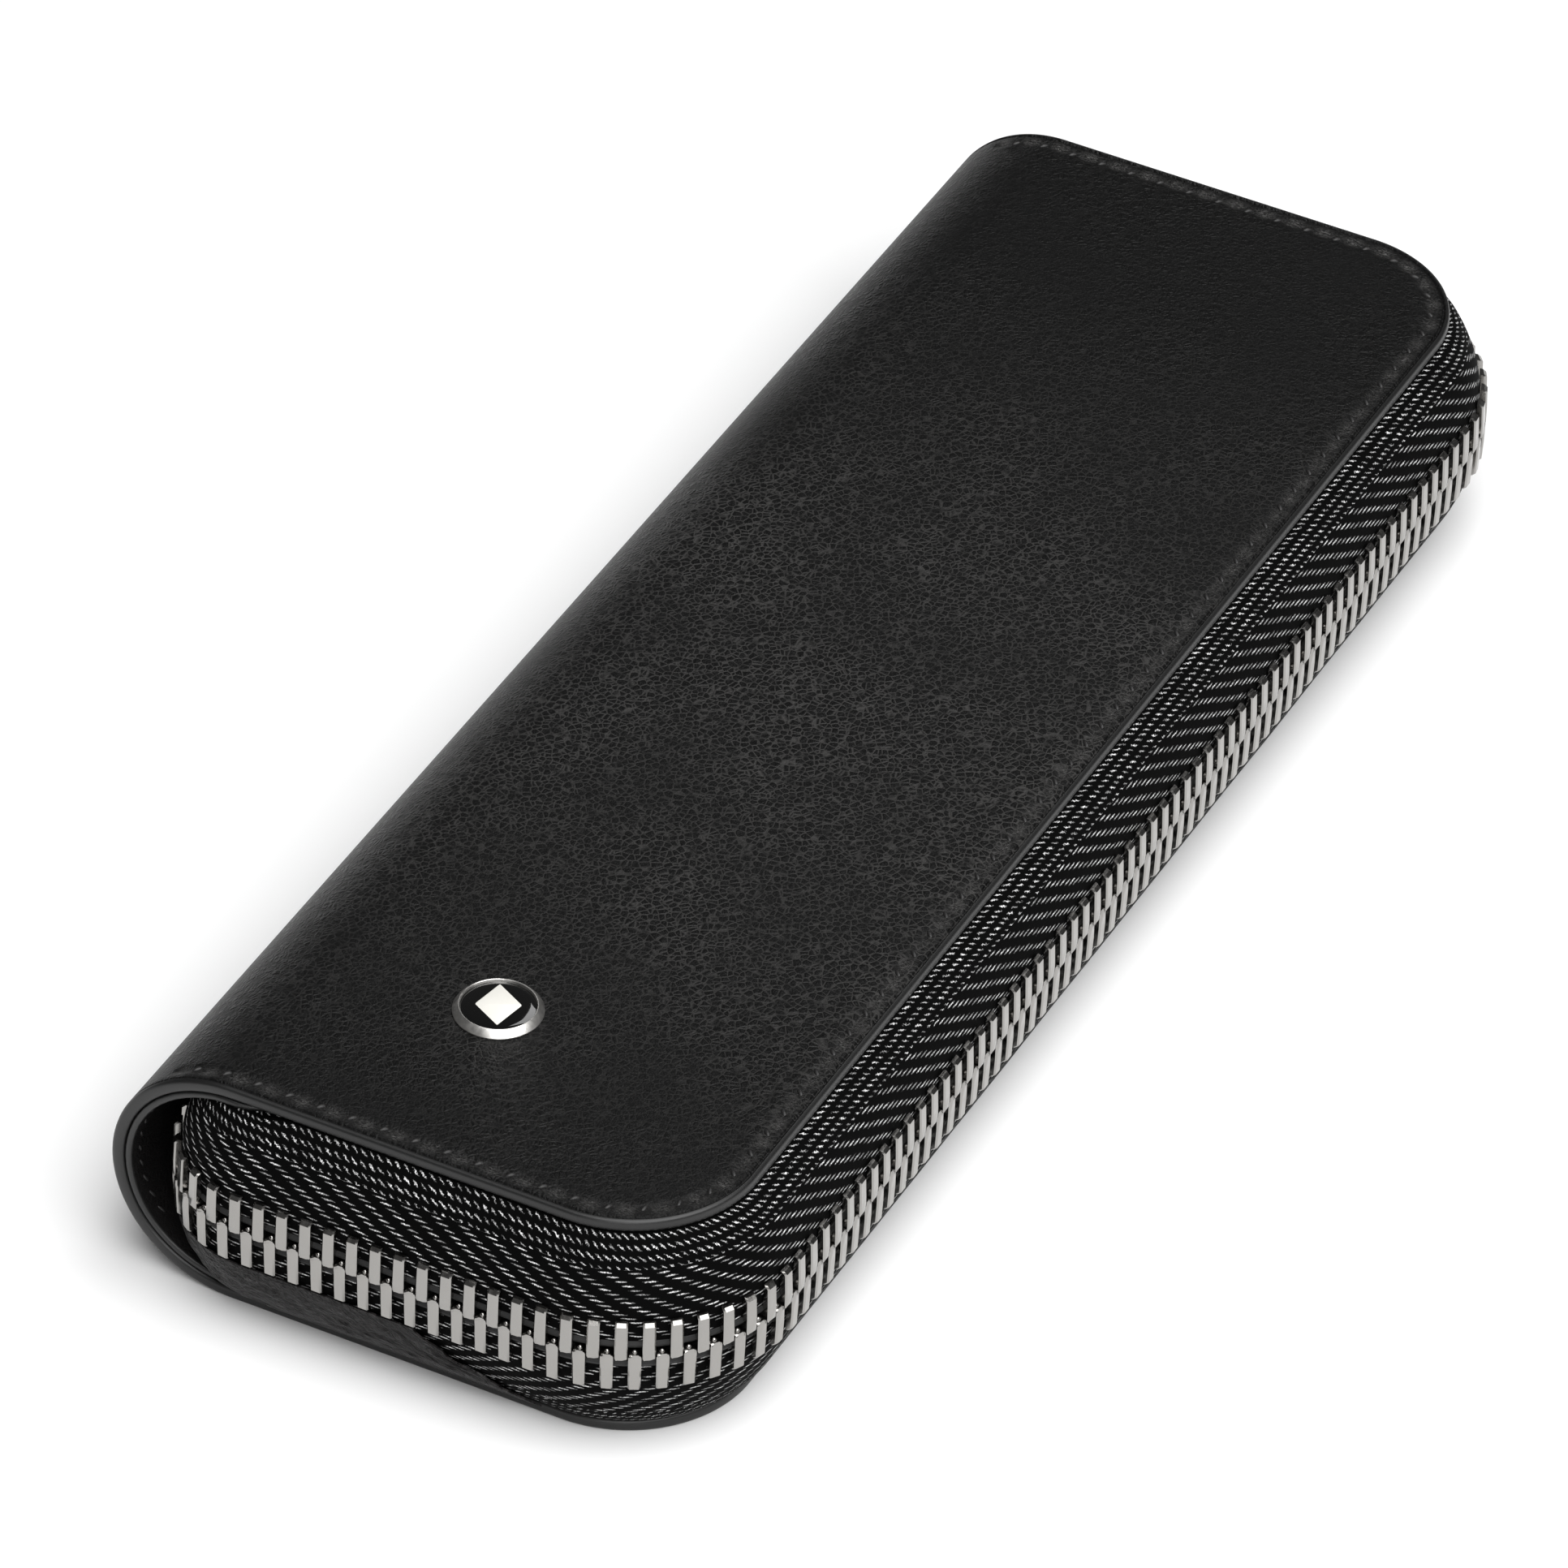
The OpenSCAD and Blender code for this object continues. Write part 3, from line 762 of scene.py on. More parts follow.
def make_linings(case):
    """Lining leather: thinner, matt, glued down round the spine and slack over the boards."""
    sizes = case.sizes

    def base_depth(u, y):
        flat = smoothstep(SPINE_X - 2, SPINE_X + 3, u)
        return sizes.leather_t + 0.03 + 0.37 * flat

    def relief(u, y):
        return 0.05 * noise.noise(Vector((u * 0.35, y * 0.12, 7))) * smoothstep(10, 4, u)

    rings = (0.5, 0.9, 1.5, 2.5, 5.0, 9.0)
    for top, name, node, body in ((False, "lining_lower", "lining_bottom", "base"),
                                  (True, "lining_upper", "lining_top", "lid")):
        piece = folded_sheet(name, sizes, top, sizes.lining_t, 0.12, rings, relief, base_depth, 1.2, 24)
        for v in piece.data.vertices:
            pull = 2.0 * smoothstep(SPINE_X, SPINE_X + 6, v.co.x)
            v.co.y *= 1 - pull / END_Y
            v.co.x -= 2.0 * smoothstep(EDGE_X - 20, EDGE_X, v.co.x)
        paint(piece, lining_leather(case), edge_paint())
        settle(piece, None, (node, "lining_spine", "spine_stiffener"))
        cross_fold(piece)


def make_boards(case):
    """Stiffening boards of bonded fibre between the leather and the lining."""
    for name, node, body in (("board_lower", "board_bottom", "base"), ("board_upper", "board_top", "lid")):
        low, high = frame_mm(node)
        z = (high.z - 0.2) if body == "lid" else (low.z + 0.2)
        piece = primitive("cube", name, size=1)
        resize(high.x - SPINE_X, high.y - low.y, 0.34)
        move((high.x + SPINE_X) / 2, 0, z)
        select("edges", lambda a, b: abs(a.z - b.z) > 0.1 and a.x > 0)
        bevel(6.8, 10)
        close()
        modify(piece, "BEVEL", width=0.06, segments=2, limit_method="ANGLE")
        paint(piece, plain("fibre_board", linear("5a5148"), 0.8, 900.0, 0.6))
        settle(piece, body, (node,))


# ---------------------------------------------------------------- zip


def mirrored(co):
    return Vector((co.x, co.y, CASE_H - co.z))


def tape_outline():
    """The lower tape's side view as (out from the chain, height): from under the cover out to the teeth."""
    return [(-7.0, 1.42), (-4.6, 1.42), (-3.5, 1.46), (-2.9, 1.75), (-2.3, 2.4), (-1.7, 3.3), (-1.1, 4.5),
            (-0.55, 5.9), (-0.18, 7.2), (0.0, 8.4), (0.0, 9.6), (0.0, 10.8)]


def outline_place(outline, path):
    """A function that gives a vertex's place along the path and along the outline."""
    lengths = [0.0]
    for a, b in zip(outline, outline[1:]):
        lengths.append(lengths[-1] + math.dist(a, b))

    def place(co):
        s, off = path_locate(path, co.x, co.y)
        best, at = 1e9, 0.0
        for i, (a, b) in enumerate(zip(outline, outline[1:])):
            d = Vector(b) - Vector(a)
            p = Vector((off, co.z)) - Vector(a)
            t = min(1.0, max(0.0, p.dot(d) / d.length_squared))
            far = (p - d * t).length
            if far < best:
                best, at = far, lengths[i] + t * d.length
        return s, at

    return place


def tuck_in(co, sizes, clearance):
    """Keeps a point near the spine inside the lining's curve."""
    if co.x >= SPINE_X + 4:
        return co
    reach = MID_Z - sizes.leather_t - sizes.lining_t - 0.05 - clearance
    dx, dz = min(0.0, co.x - SPINE_X), co.z - MID_Z
    far = math.hypot(dx, dz)
    if far > reach:
        co.x = (SPINE_X + dx * reach / far) if dx < 0 else co.x
        co.z = MID_Z + dz * reach / far
    return co


def swept_strip(name, path, outline):
    """A strip of the given outline carried along the path."""
    _, x, y, heading, _, _ = path[0]
    out = Vector((math.sin(heading), -math.cos(heading)))
    points = [(x + out.x * o, y + out.y * o, z) for o, z in outline]
    piece = draw_line(name, points)
    sweep(path)
    merge()
    return piece


def make_tapes(case):
    """Two halves of the zip tape, each with the cord that the teeth grip."""
    sizes = case.sizes
    path = chain_path(sizes)
    outline = tape_outline()
    for top, half, body in ((False, "lower", "base"), (True, "upper", "lid")):
        piece = swept_strip(f"tape_{half}_weave", path, outline)
        for i in range(1, 60):
            cut((0, -END_Y + 2 * END_Y * i / 60, 0), (0, 1, 0))
        for i in range(1, 14):
            cut((FRONT_X + (EDGE_X - FRONT_X) * i / 14, 0, 0), (1, 0, 0))
        close()
        keep_uv(piece, outline_place(outline, path))
        for v in piece.data.vertices:
            s, _ = path_locate(path, v.co.x, v.co.y)
            slack = math.sin(math.pi * min(1.0, max(0.0, (v.co.z - 1.6) / 7.5))) if v.co.z > 1.6 else 0.0
            v.co.z += slack * 0.16 * noise.noise(Vector((s * 0.09, 2.0 * top, 0)))
            v.co = tuck_in(v.co, sizes, sizes.tape_t / 2 + 0.1)
            if top:
                v.co = mirrored(v.co)
        modify(piece, "SOLIDIFY", thickness=sizes.tape_t, offset=0.0)
        face_outwards(piece)
        paint(piece, tape_weave(case.colours))
        settle(piece, body, (f"tape_{half}",), smooth=60)

        _, x, y, _, _, _ = path[0]
        cord = primitive("circle", f"tape_{half}_cord", vertices=8, radius=0.42, fill_type="NOTHING",
                         location=(x, y, CASE_H - CORD_Z if top else CORD_Z), rotation=(math.pi / 2, 0, 0))
        sweep(path)
        merge()
        select("edges", lambda a, b: abs(a.y - y) < 1e-3 and abs(b.y - y) < 1e-3)
        bpy.ops.mesh.edge_face_add()
        select("edges", lambda a, b: abs(a.y + y) < 1e-3 and abs(b.y + y) < 1e-3 and a.x < SPINE_X)
        bpy.ops.mesh.edge_face_add()
        outwards()
        close()
        paint(cord, plain("tape_cord", linear("0b0b0b"), 0.6, 4000.0, 0.5))
        settle(cord, body)


def tooth_model(sizes):
    """One zip tooth: a rounded head with its nib, and two legs folded over the tape. X is along the chain."""
    w, d = sizes.tooth_w, sizes.tooth_d
    head, leg = 1.7, 2.3
    tooth = primitive("cube", "tooth", size=1)
    resize(w, d, head)
    move(0, 0, leg + head / 2)
    for side in (-1, 1):
        cut((0, side * 0.34, 0), (0, 1, 0))
    select("faces", lambda c, n: n.z < -0.9 and abs(c.y) > 0.4)
    extrude(0, 0, -leg)
    resize(0.96, 0.9, 1, about=(0, 0, 0))
    select("edges", lambda a, b: abs(a.x - b.x) < 1e-4 and abs(a.z - b.z) < 1e-4
           and min(a.z, b.z) > leg + head - 0.01)
    bevel(0.26, 2)
    select("faces", lambda c, n: n.z > 0.95)
    resize(1, 0.8, 1, about=(0, 0, 0))
    select("edges", lambda a, b: max(abs(a.z), abs(b.z)) < 0.01
           and min(abs(a.y), abs(b.y)) > 0.35 * d and a.y * b.y > 0)
    bevel(0.28, 1)
    select("edges", lambda a, b: a.y * b.y > 0.5 * d * d / 4 and abs(a.x) > 0.4 * w and a.x * b.x > 0)
    bevel(0.14, 1)
    close()
    nib = primitive("ico_sphere", "nib", radius=0.32, subdivisions=1, location=(0.0, -0.35, leg + head))
    close()
    return joined([tooth, nib], "tooth")


def make_teeth(case):
    """The two rows of teeth, meshed: one row stands half a pitch along from the other."""
    sizes = case.sizes
    path = chain_path(sizes)
    first = 1.6 + sizes.tooth_pitch / 2
    end = path[7][0]
    count = math.floor((end - first - sizes.tooth_pitch) / sizes.tooth_pitch) + 1

    def upright(s, top):
        """The place of a tooth or stop this far along the chain."""
        x, y, heading = path_point(path, s)
        z = CASE_H - TOOTH_FOOT if top else TOOTH_FOOT
        turn = Matrix.Rotation(heading, 4, "Z") @ Matrix.Rotation(math.pi * top, 4, "X")
        return Matrix.Translation((x, y, z)) @ turn

    for top, half, body in ((False, "lower", "base"), (True, "upper", "lid")):
        places = [upright(first + (k + 0.5 * top) * sizes.tooth_pitch, top) for k in range(count)]
        piece = copies(tooth_model(sizes), places, f"teeth_{half}_row")
        paint(piece, nickel(case))
        settle(piece, body, (f"teeth_{half}",), smooth=43)

        stop = primitive("cube", f"stops_{half}_pair", size=1)
        resize(1.6, sizes.tooth_d * 0.95, 3.2)
        move(0, 0, 1.6)
        select("faces", lambda c, n: abs(n.x) > 0.9)
        bpy.ops.mesh.inset(thickness=0.3)
        close()
        modify(stop, "BEVEL", width=0.25, segments=3, limit_method="ANGLE")
        piece = copies(stop, [upright(s, top) for s in (0.8, end + 1.0)], f"stops_{half}_pair")
        paint(piece, nickel(case))
        settle(piece, body, (f"stops_{half}",))


def make_facings(case):
    """Creased leather facings over the foot of the lower tape, one at each end beside the spine."""
    sizes = case.sizes
    gap = sizes.tape_t / 2 + 0.12
    outline = [(-3.0, 1.25), (-2.55, 1.75), (-2.0, 2.4), (-1.4, 3.2), (-0.85, 4.2), (-0.35, 5.3), (0.05, 6.4),
               (0.3, 7.3), (0.36, 8.0)]
    outline = [(o + gap * 0.6, z - gap * 0.35) for o, z in outline]
    length = 26.0
    for side, end in ((-1, "front"), (1, "rear")):
        top_z = outline[-1][1]
        run = [(0, 3.0), (TAIL_R, None), (0, length)]
        path = make_path(TAIL_X, -END_Y - sizes.overhang + TAIL_R + 3.0, -math.pi / 2, run)
        use = outline if side < 0 else [(o, min(z, 6.9)) for o, z in outline[:-2]]
        piece = swept_strip(f"facing_{end}_leather", path, use)
        for i in range(1, 90):
            cut((TAIL_X + (length + TAIL_R) * i / 90, 0, 0), (1, 0, 0))
        for i in range(1, 22):
            cut((0, 0, 1.0 + 7.2 * i / 22), (0, 0, 1))
        close()
        keep_uv(piece, outline_place(use, path))
        for v in piece.data.vertices:
            s, _ = path_locate(path, v.co.x, v.co.y)
            h = min(1.0, max(0.0, (v.co.z - 1.0) / (top_z - 1.0)))
            reach = length + 2.0 - 11.0 * h - 1.5 * noise.noise(Vector((h * 4, side, 0)))
            if v.co.x > FRONT_X:
                v.co.x = FRONT_X + (v.co.x - FRONT_X) * reach / length
            folds = noise.noise(Vector((s * 0.3, v.co.z * 0.8, side * 5)))
            folds += 0.6 * noise.noise(Vector((s * 0.8, v.co.z * 1.3, side * 9)))
            rise = 0.3 * folds * math.sin(math.pi * min(1.0, max(0.0, h * 1.05)))
            v.co.y -= rise
            v.co = tuck_in(v.co, sizes, 0.25)
            if side > 0:
                v.co.y = -v.co.y
        modify(piece, "SOLIDIFY", thickness=0.18, offset=0.0)
        modify(piece, "BEVEL", width=0.05, segments=2, limit_method="ANGLE", angle_limit=1.2)
        face_outwards(piece)
        paint(piece, creased_leather(case))
        settle(piece, "base", (f"facing_{end}",), smooth=60)


# ---------------------------------------------------------------- stitching


def stitch_model(length, girth):
    """One stitch: a waxed thread pulled down at both ends."""
    piece = primitive("uv_sphere", "stitch", segments=8, ring_count=6, radius=1, rotation=(0, math.pi / 2, 0))
    resize(length / 2, girth / 2, girth / 2)
    close()
    for v in piece.data.vertices:
        v.co.z -= 0.16 * (2 * v.co.x / length) ** 2
        v.co.y += 0.12 * math.sin(math.pi * v.co.x / length)
    return piece


def make_cover_stitching(case):
    """Saddle stitching round the three open sides of both panels."""
    sizes = case.sizes
    path = stitch_path(sizes)
    count = round(path_length(path) / sizes.stitch_pitch)
    pitch = path_length(path) / count
    for top, half, body in ((False, "bottom", "base"), (True, "top", "lid")):
        places = []
        for k in range(count):
            u, y, heading = path_point(path, (k + 0.5) * pitch)
            x, z = fold(u, 0.13 if top else 0.25, top)
            lean = (SPINE_X - u) / MID_Z if u < SPINE_X else 0.0
            tilt = Matrix.Rotation(-lean if top else math.pi + lean, 4, "Y")
            spin = Matrix.Rotation((heading if top else -heading) + COVER_LEAN, 4, "Z")
            places.append(Matrix.Translation((x, y, z)) @ tilt @ spin)
        piece = copies(stitch_model(pitch * 0.4, 0.5), places, f"stitching_{half}_thread")
        paint(piece, thread())
        settle(piece, body, (f"stitching_{half}",), smooth=80)


def make_lining_stitching(case):
    """The row of stitches on the lining just inside each end of the spine."""
    sizes = case.sizes
    inner = MID_Z - sizes.leather_t - sizes.lining_t - 0.03
    places = []
    for side in (-1, 1):
        for k in range(9):
            angle = math.radians(52 + 76 * k / 8)
            x = SPINE_X - inner * math.sin(angle)
            z = MID_Z - inner * math.cos(angle)
            place = Matrix.Translation((x, side * (END_Y - 1.7), z))
            places.append(place @ Matrix.Rotation(angle, 4, "Y") @ Matrix.Rotation(LEAN, 4, "Z"))
    piece = copies(stitch_model(1.3, 0.32), places, "stitching_lining_thread")
    paint(piece, thread())
    settle(piece, "spine", ("lining_stitching",), smooth=80)


# ---------------------------------------------------------------- pen loops


def make_loops(case):
    """Leather sleeve and loops: a band laid over two arches and sewn down at three feet."""
    for node, name, long in (("pen_sleeve", "pen_sleeve_leather", True),
                             ("pen_loops", "pen_loops_leather", False)):
        low, high = frame_mm(node)
        floor, thick = low.z, 0.8
        middle = (low.x + high.x) / 2
        radius, side, foot = 7.4, 6.5, 3.0
        step_x = (high.x - low.x) / 2 - foot - radius - 0.4
        points = [(low.x, floor + thick / 2)]
        for sign in (-1, 1):
            cx = middle + sign * step_x
            points.append((cx - radius, floor + thick / 2))
            points.append((cx - radius, floor + side * 0.6))
            for i in range(17):
                a = math.pi - math.pi * i / 16
                points.append((cx + radius * math.cos(a), floor + side + radius * math.sin(a)))
            points.append((cx + radius, floor + side * 0.6))
            points.append((cx + radius, floor + thick / 2))
        points.append((high.x, floor + thick / 2))
        piece = draw_line(name, [(x, low.y, z) for x, z in points])
        extrude(0, high.y - low.y)
        for i in range(1, 12 if long else 6):
            cut((0, low.y + (high.y - low.y) * i / (12 if long else 6), 0), (0, 1, 0))
        close()
        keep_uv(piece, lambda co: (co.x + co.z * 1.7, co.y))
        for v in piece.data.vertices:
            lift = smoothstep(floor + 1, floor + 6, v.co.z)
            v.co.z += 0.16 * lift * noise.noise(Vector((v.co.x * 0.3, v.co.y * 0.2, 4)))
        modify(piece, "SOLIDIFY", thickness=thick - 0.1, offset=0.0)
        modify(piece, "BEVEL", width=0.14, segments=2, limit_method="ANGLE", angle_limit=1.0)
        face_outwards(piece)
        paint(piece, lining_leather(case))
        settle(piece, "base", (node,), smooth=40)


def make_loop_stitching(case):
    """Stitches along the feet of the sleeve and the loops."""
    places = []
    for node in ("pen_sleeve", "pen_loops"):
        low, high = frame_mm(node)
        count = math.floor((high.y - low.y) / 2.6)
        for x in (low.x + 1.5, (low.x + high.x) / 2, high.x - 1.5):
            for k in range(count):
                y = low.y + (high.y - low.y) * (k + 0.5) / count
                places.append(Matrix.Translation((x, y, low.z + 0.8)) @ Matrix.Rotation(math.pi / 2 + LEAN,
                                                                                        4, "Z"))
    piece = copies(stitch_model(1.9, 0.38), places, "stitching_loops_thread")
    paint(piece, thread())
    settle(piece, "base", ("loop_stitching",), smooth=80)


# ---------------------------------------------------------------- badge


def turned(name, points, centre, steps=64):
    """A turned piece: the (radius, height) outline spun about the upright line through centre."""
    piece = draw_line(name, [(centre.x + r, centre.y, centre.z + z) for r, z in points])
    bpy.ops.mesh.spin(steps=steps, angle=math.tau, center=centre, axis=(0, 0, 1))
    merge()
    outwards()
    close()
    return piece


def make_badge(case):
    """Round badge: a satin rim, a domed black disc with a plain white lozenge, a washer behind."""
    low, high = frame_mm("badge_bezel")
    r = (high.x - low.x) / 2
    centre = Vector(((low.x + high.x) / 2, (low.y + high.y) / 2, CASE_H))
    rim = [(0, 0.02), (r - 0.04, 0.02), (r, 0.06), (r, 0.16), (r - 0.04, 0.22), (r - 0.5, 0.74),
           (r - 0.54, 0.77),
           (r - 0.6, 0.77), (r - 0.64, 0.72), (r - 0.66, 0.3), (0, 0.3)]
    piece = turned("badge_rim", rim, centre)
    paint(piece, metal("satin_bezel_metal", linear("e6e4e0"), 0.3))
    settle(piece, "lid", ("badge_bezel",), smooth=30)

    inner = r - 0.63
    dome = [(0, 0.3), (inner, 0.3), (inner, 0.5)]
    dome += [(inner * math.cos(a), 0.5 + 0.22 * math.sin(a)) for a in (0.3, 0.6, 0.9, 1.2, 1.4)] + [(0, 0.72)]
    piece = turned("badge_black_disc", dome, centre)
    paint(piece, plain("black_resin", linear("060606"), 0.05, 300.0, 0.02, coat=1.0))
    settle(piece, "lid", ("badge_disc",), smooth=50)

    piece = primitive("circle", "badge_lozenge", vertices=4, radius=1, fill_type="NGON",
                      location=centre + Vector((0, 0, 0.7)))
    resize(inner * 0.6, inner * 0.82, 1, about=centre + Vector((0, 0, 0.7)))
    bpy.ops.transform.rotate(value=-0.45, orient_axis="Z", center_override=centre)
    bevel(0.16, 4, "VERTICES")
    bpy.ops.mesh.inset(thickness=0.1)
    move(0, 0, 0.04)
    close()
    modify(piece, "SOLIDIFY", thickness=0.12, offset=-1.0)
    paint(piece, plain("white_resin", linear("f3f1ea"), 0.22, 300.0, 0.02, coat=0.5))
    settle(piece, "lid", ("badge_inlay",), smooth=40)

    below = centre - Vector((0, 0, 1.6))
    ring = [(1.55, 0.0), (2.5, 0.0), (2.6, 0.1), (2.6, 0.28), (2.5, 0.36), (1.55, 0.36), (1.55, 0.0)]
    piece = turned("badge_washer_ring", ring, below, 32)
    paint(piece, nickel(case))
    settle(piece, "lid", ("badge_washer",))


# ---------------------------------------------------------------- slider


def slab(name, x0, x1, y0, y1, z0, z1):
    """A block between two corners, left open for editing with all of it selected."""
    piece = primitive("cube", name, size=1)
    resize(x1 - x0, y1 - y0, z1 - z0)
    move((x0 + x1) / 2, (y0 + y1) / 2, (z0 + z1) / 2)
    return piece


def make_slider(case):
    """Zip slider: two plates with turned-in lips, joined at the nose, and two lugs for the pull's pin."""
    low, high = frame_mm("slider_body")
    pin_low, pin_high = frame_mm("slider_pin")
    pin = (pin_low + pin_high) / 2
    pin_r = (pin_high.x - pin_low.x) / 2
    half = (high.x - low.x) / 2
    cx = low.x + half
    cy = END_Y + case.sizes.overhang
    reach, tall, plate = 1.35, 4.5, 0.85
    parts = []
    for side in (-1, 1):
        y0, y1 = sorted((cy + side * reach, cy + side * (reach + plate)))
        part = slab("plate", cx - half, cx + half, y0, y1, MID_Z - tall, MID_Z + tall)
        for x in (-0.5, 0.35):
            cut((cx + half * x, 0, 0), (1, 0, 0))
        select("verts", lambda v: v.x > cx + half * 0.9)
        resize(1, 1, 0.84, about=(cx, cy, MID_Z))
        select("verts", lambda v: v.x < cx - half * 0.9)
        resize(1, 1, 0.93, about=(cx, cy, MID_Z))
        select("faces", lambda c, n: abs(n.z) > 0.7)
        bpy.ops.mesh.extrude_region_move(TRANSFORM_OT_translate={"value": (0, 0, 0)})
        close()
        parts.append(part)
        for up in (-1, 1):
            z0, z1 = sorted((MID_Z + up * (tall - 0.62), MID_Z + up * (tall - 0.02)))
            y0, y1 = sorted((cy + side * 0.62, cy + side * (reach + 0.05)))
            part = slab("lip", cx - half + 0.5, cx + half - 0.6, y0, y1, z0, z1)
            select("verts", lambda v: v.x > cx)
            resize(1, 1, 0.86, about=(cx, cy, MID_Z))
            close()
            parts.append(part)
    part = slab("nose", cx - half + 0.2, cx - half + 1.5, cy - reach - 0.1, cy + reach + 0.1, MID_Z - 0.35,
                MID_Z + 0.35)
    close()
    parts.append(part)
    for up in (-1, 1):
        z0, z1 = sorted((MID_Z + up * 1.9, MID_Z + up * 2.9))
        part = slab("lug", pin.x - 2.2, pin.x + 2.2, cy + reach + plate - 0.1, pin.y + 0.5, z0, z1)
        select("edges", lambda a, b: abs(a.z - b.z) > 0.5 and a.y > pin.y)
        bevel(1.3, 8)
        close()
        parts.append(part)
    for part in parts:
        modify(part, "BEVEL", width=0.16, segments=2, limit_method="ANGLE")
    body = joined(parts, "slider_shell")
    edit(body)
    merge()
    outwards()
    close()
    paint(body, metal("slider_nickel", linear("9b9996"), 0.12))
    settle(body, "slider", ("slider_body",))

    rivet = [(0, -3.05), (pin_r * 0.8, -3.05), (pin_r + 0.12, -2.93), (pin_r, -2.8), (pin_r, 2.8),
             (pin_r + 0.12, 2.93),
             (pin_r * 0.8, 3.05), (0, 3.05)]
    piece = turned("slider_rivet", rivet, Vector((pin.x, pin.y, MID_Z)), 24)
    paint(piece, nickel(case))
    settle(piece, "slider", ("slider_pin",))


def make_pull(case):
    """Pull tab: a stamped tongue with a drop-shaped hole, hung on the slider's pin."""
    low, high = frame_mm("pull_tab")
    pin_low, pin_high = frame_mm("slider_pin")
    pin = (pin_low + pin_high) / 2
    wide, thick = high.z - low.z, 0.9
    r = wide / 2
    tab = primitive("cylinder", "pull_tongue", vertices=40, radius=r, depth=thick,
                    rotation=(math.pi / 2, 0, 0))
    select("verts", lambda v: v.x < -0.01)
    move(-(high.x - pin.x - wide - 0.9))
    resize(1, 1, 0.62, about=(0, 0, 0))
    bpy.ops.mesh.select_all(action="SELECT")
    move(high.x - r, pin.y, MID_Z)
    for k in (0.2, 0.4, 0.6, 0.8):
        cut((pin.x + (high.x - pin.x) * k, 0, 0), (1, 0, 0))
    close()
    hole = primitive("cylinder", "hole", vertices=24, radius=r * 0.42, depth=4, rotation=(math.pi / 2, 0, 0),
                     location=(high.x - r, pin.y, MID_Z))
    select("verts", lambda v: v.x < high.x - r - 0.01)
    move(-6.5)
    resize(1, 1, 0.55, about=(0, 0, MID_Z))
    close()
    modify(tab, "BOOLEAN", operation="DIFFERENCE", object=hole, solver="EXACT")
    bpy.data.objects.remove(hole)
    modify(tab, "BEVEL", width=0.16, segments=3, limit_method="ANGLE", angle_limit=0.9)
    inner = (pin_high.x - pin_low.x) / 2 + 0.05
    barrel = [(inner, -1.7), (1.0, -1.7), (1.1, -1.6), (1.1, 1.6), (1.0, 1.7), (inner, 1.7), (inner, -1.7)]
    knuckle = turned("knuckle", barrel, Vector((pin.x, pin.y, MID_Z)), 32)
    piece = joined([tab, knuckle], "pull_tongue")
    paint(piece, metal("slider_nickel", linear("9b9996"), 0.12))
    settle(piece, "puller", ("pull_tab",))


# ---------------------------------------------------------------- stage


def area_light(name, at, to, size, power):
    light = bpy.data.lights.new(name, "AREA")
    light.shape, light.size, light.size_y, light.energy = "RECTANGLE", size[0], size[1], power
    lamp = bpy.data.objects.new(name, light)
    bpy.context.collection.objects.link(lamp)
    lamp.location = at
    lamp.rotation_euler = (Vector(to) - Vector(at)).to_track_quat("-Z", "Y").to_euler()


def make_stage(case):
    """Pale floor, soft lights and the camera."""
    piece = primitive("plane", "floor", size=8)
    close()
    material, tree, shader = new_material("painted_floor")
    if tree is not None:
        shader.inputs["Base Color"].default_value = case.colours.floor
        shader.inputs["Roughness"].default_value = 0.9
    paint(piece, material)
    world = bpy.data.worlds.new("studio")
    bpy.context.scene.world = world
    world.use_nodes = True
    world.node_tree.nodes["Background"].inputs[0].default_value = (1, 1, 1, 1)
    world.node_tree.nodes["Background"].inputs[1].default_value = 0.07
    area_light("overhead", (0.4, -0.25, 0.9), (0, 0, 0), (1.2, 1.2), 19.5)
    area_light("sheen", (-0.01, 0.13, 0.22), (0.02, 0.0, 0.02), (0.1, 0.1), 0.08)
    area_light("front_fill", (0.35, -0.85, 0.3), (0, 0, 0), (0.5, 0.25), 1.5)

    azimuth, elevation, roll = math.radians(26.1), math.radians(38.44), math.radians(2.08)
    back = Vector((math.sin(azimuth) * math.cos(elevation), -math.cos(azimuth) * math.cos(elevation),
                   math.sin(elevation)))
    right = Vector((math.cos(azimuth), math.sin(azimuth), 0))
    up = back.cross(right)
    right, up = (right * math.cos(roll) + up * math.sin(roll), up * math.cos(roll) - right * math.sin(roll))
    aim = Vector((2.0, 0.0, 11.0)) * TO_METRES - right * 0.0056 - up * 0.00205
    camera = bpy.data.objects.new("camera", bpy.data.cameras.new("camera"))
    bpy.context.collection.objects.link(camera)
    camera.data.sensor_width = 36.0
    camera.data.lens = 279.5
    turn = Matrix((right, up, back)).transposed().to_4x4()
    camera.matrix_world = Matrix.Translation(aim + back * 1.0914) @ turn
    camera.data.clip_end = 20.0
    bpy.context.scene.camera = camera
    bpy.context.scene.view_settings.view_transform = "Standard"


# ---------------------------------------------------------------- add-on


class PENCASE_OT_stage(Operator):
    """Lays out the floor, the lights and the camera."""

    bl_idname = "pencase.stage"
    bl_label = "Stage"
    bl_options = {"REGISTER", "UNDO"}

    def execute(self, context):
        make_stage(Case(context.scene))
        return {"FINISHED"}


class PENCASE_OT_covers(Operator):
    """Builds both halves of the outer leather."""

    bl_idname = "pencase.covers"
    bl_label = "Covers"
    bl_options = {"REGISTER", "UNDO"}

    def execute(self, context):
        make_covers(Case(context.scene))
        return {"FINISHED"}


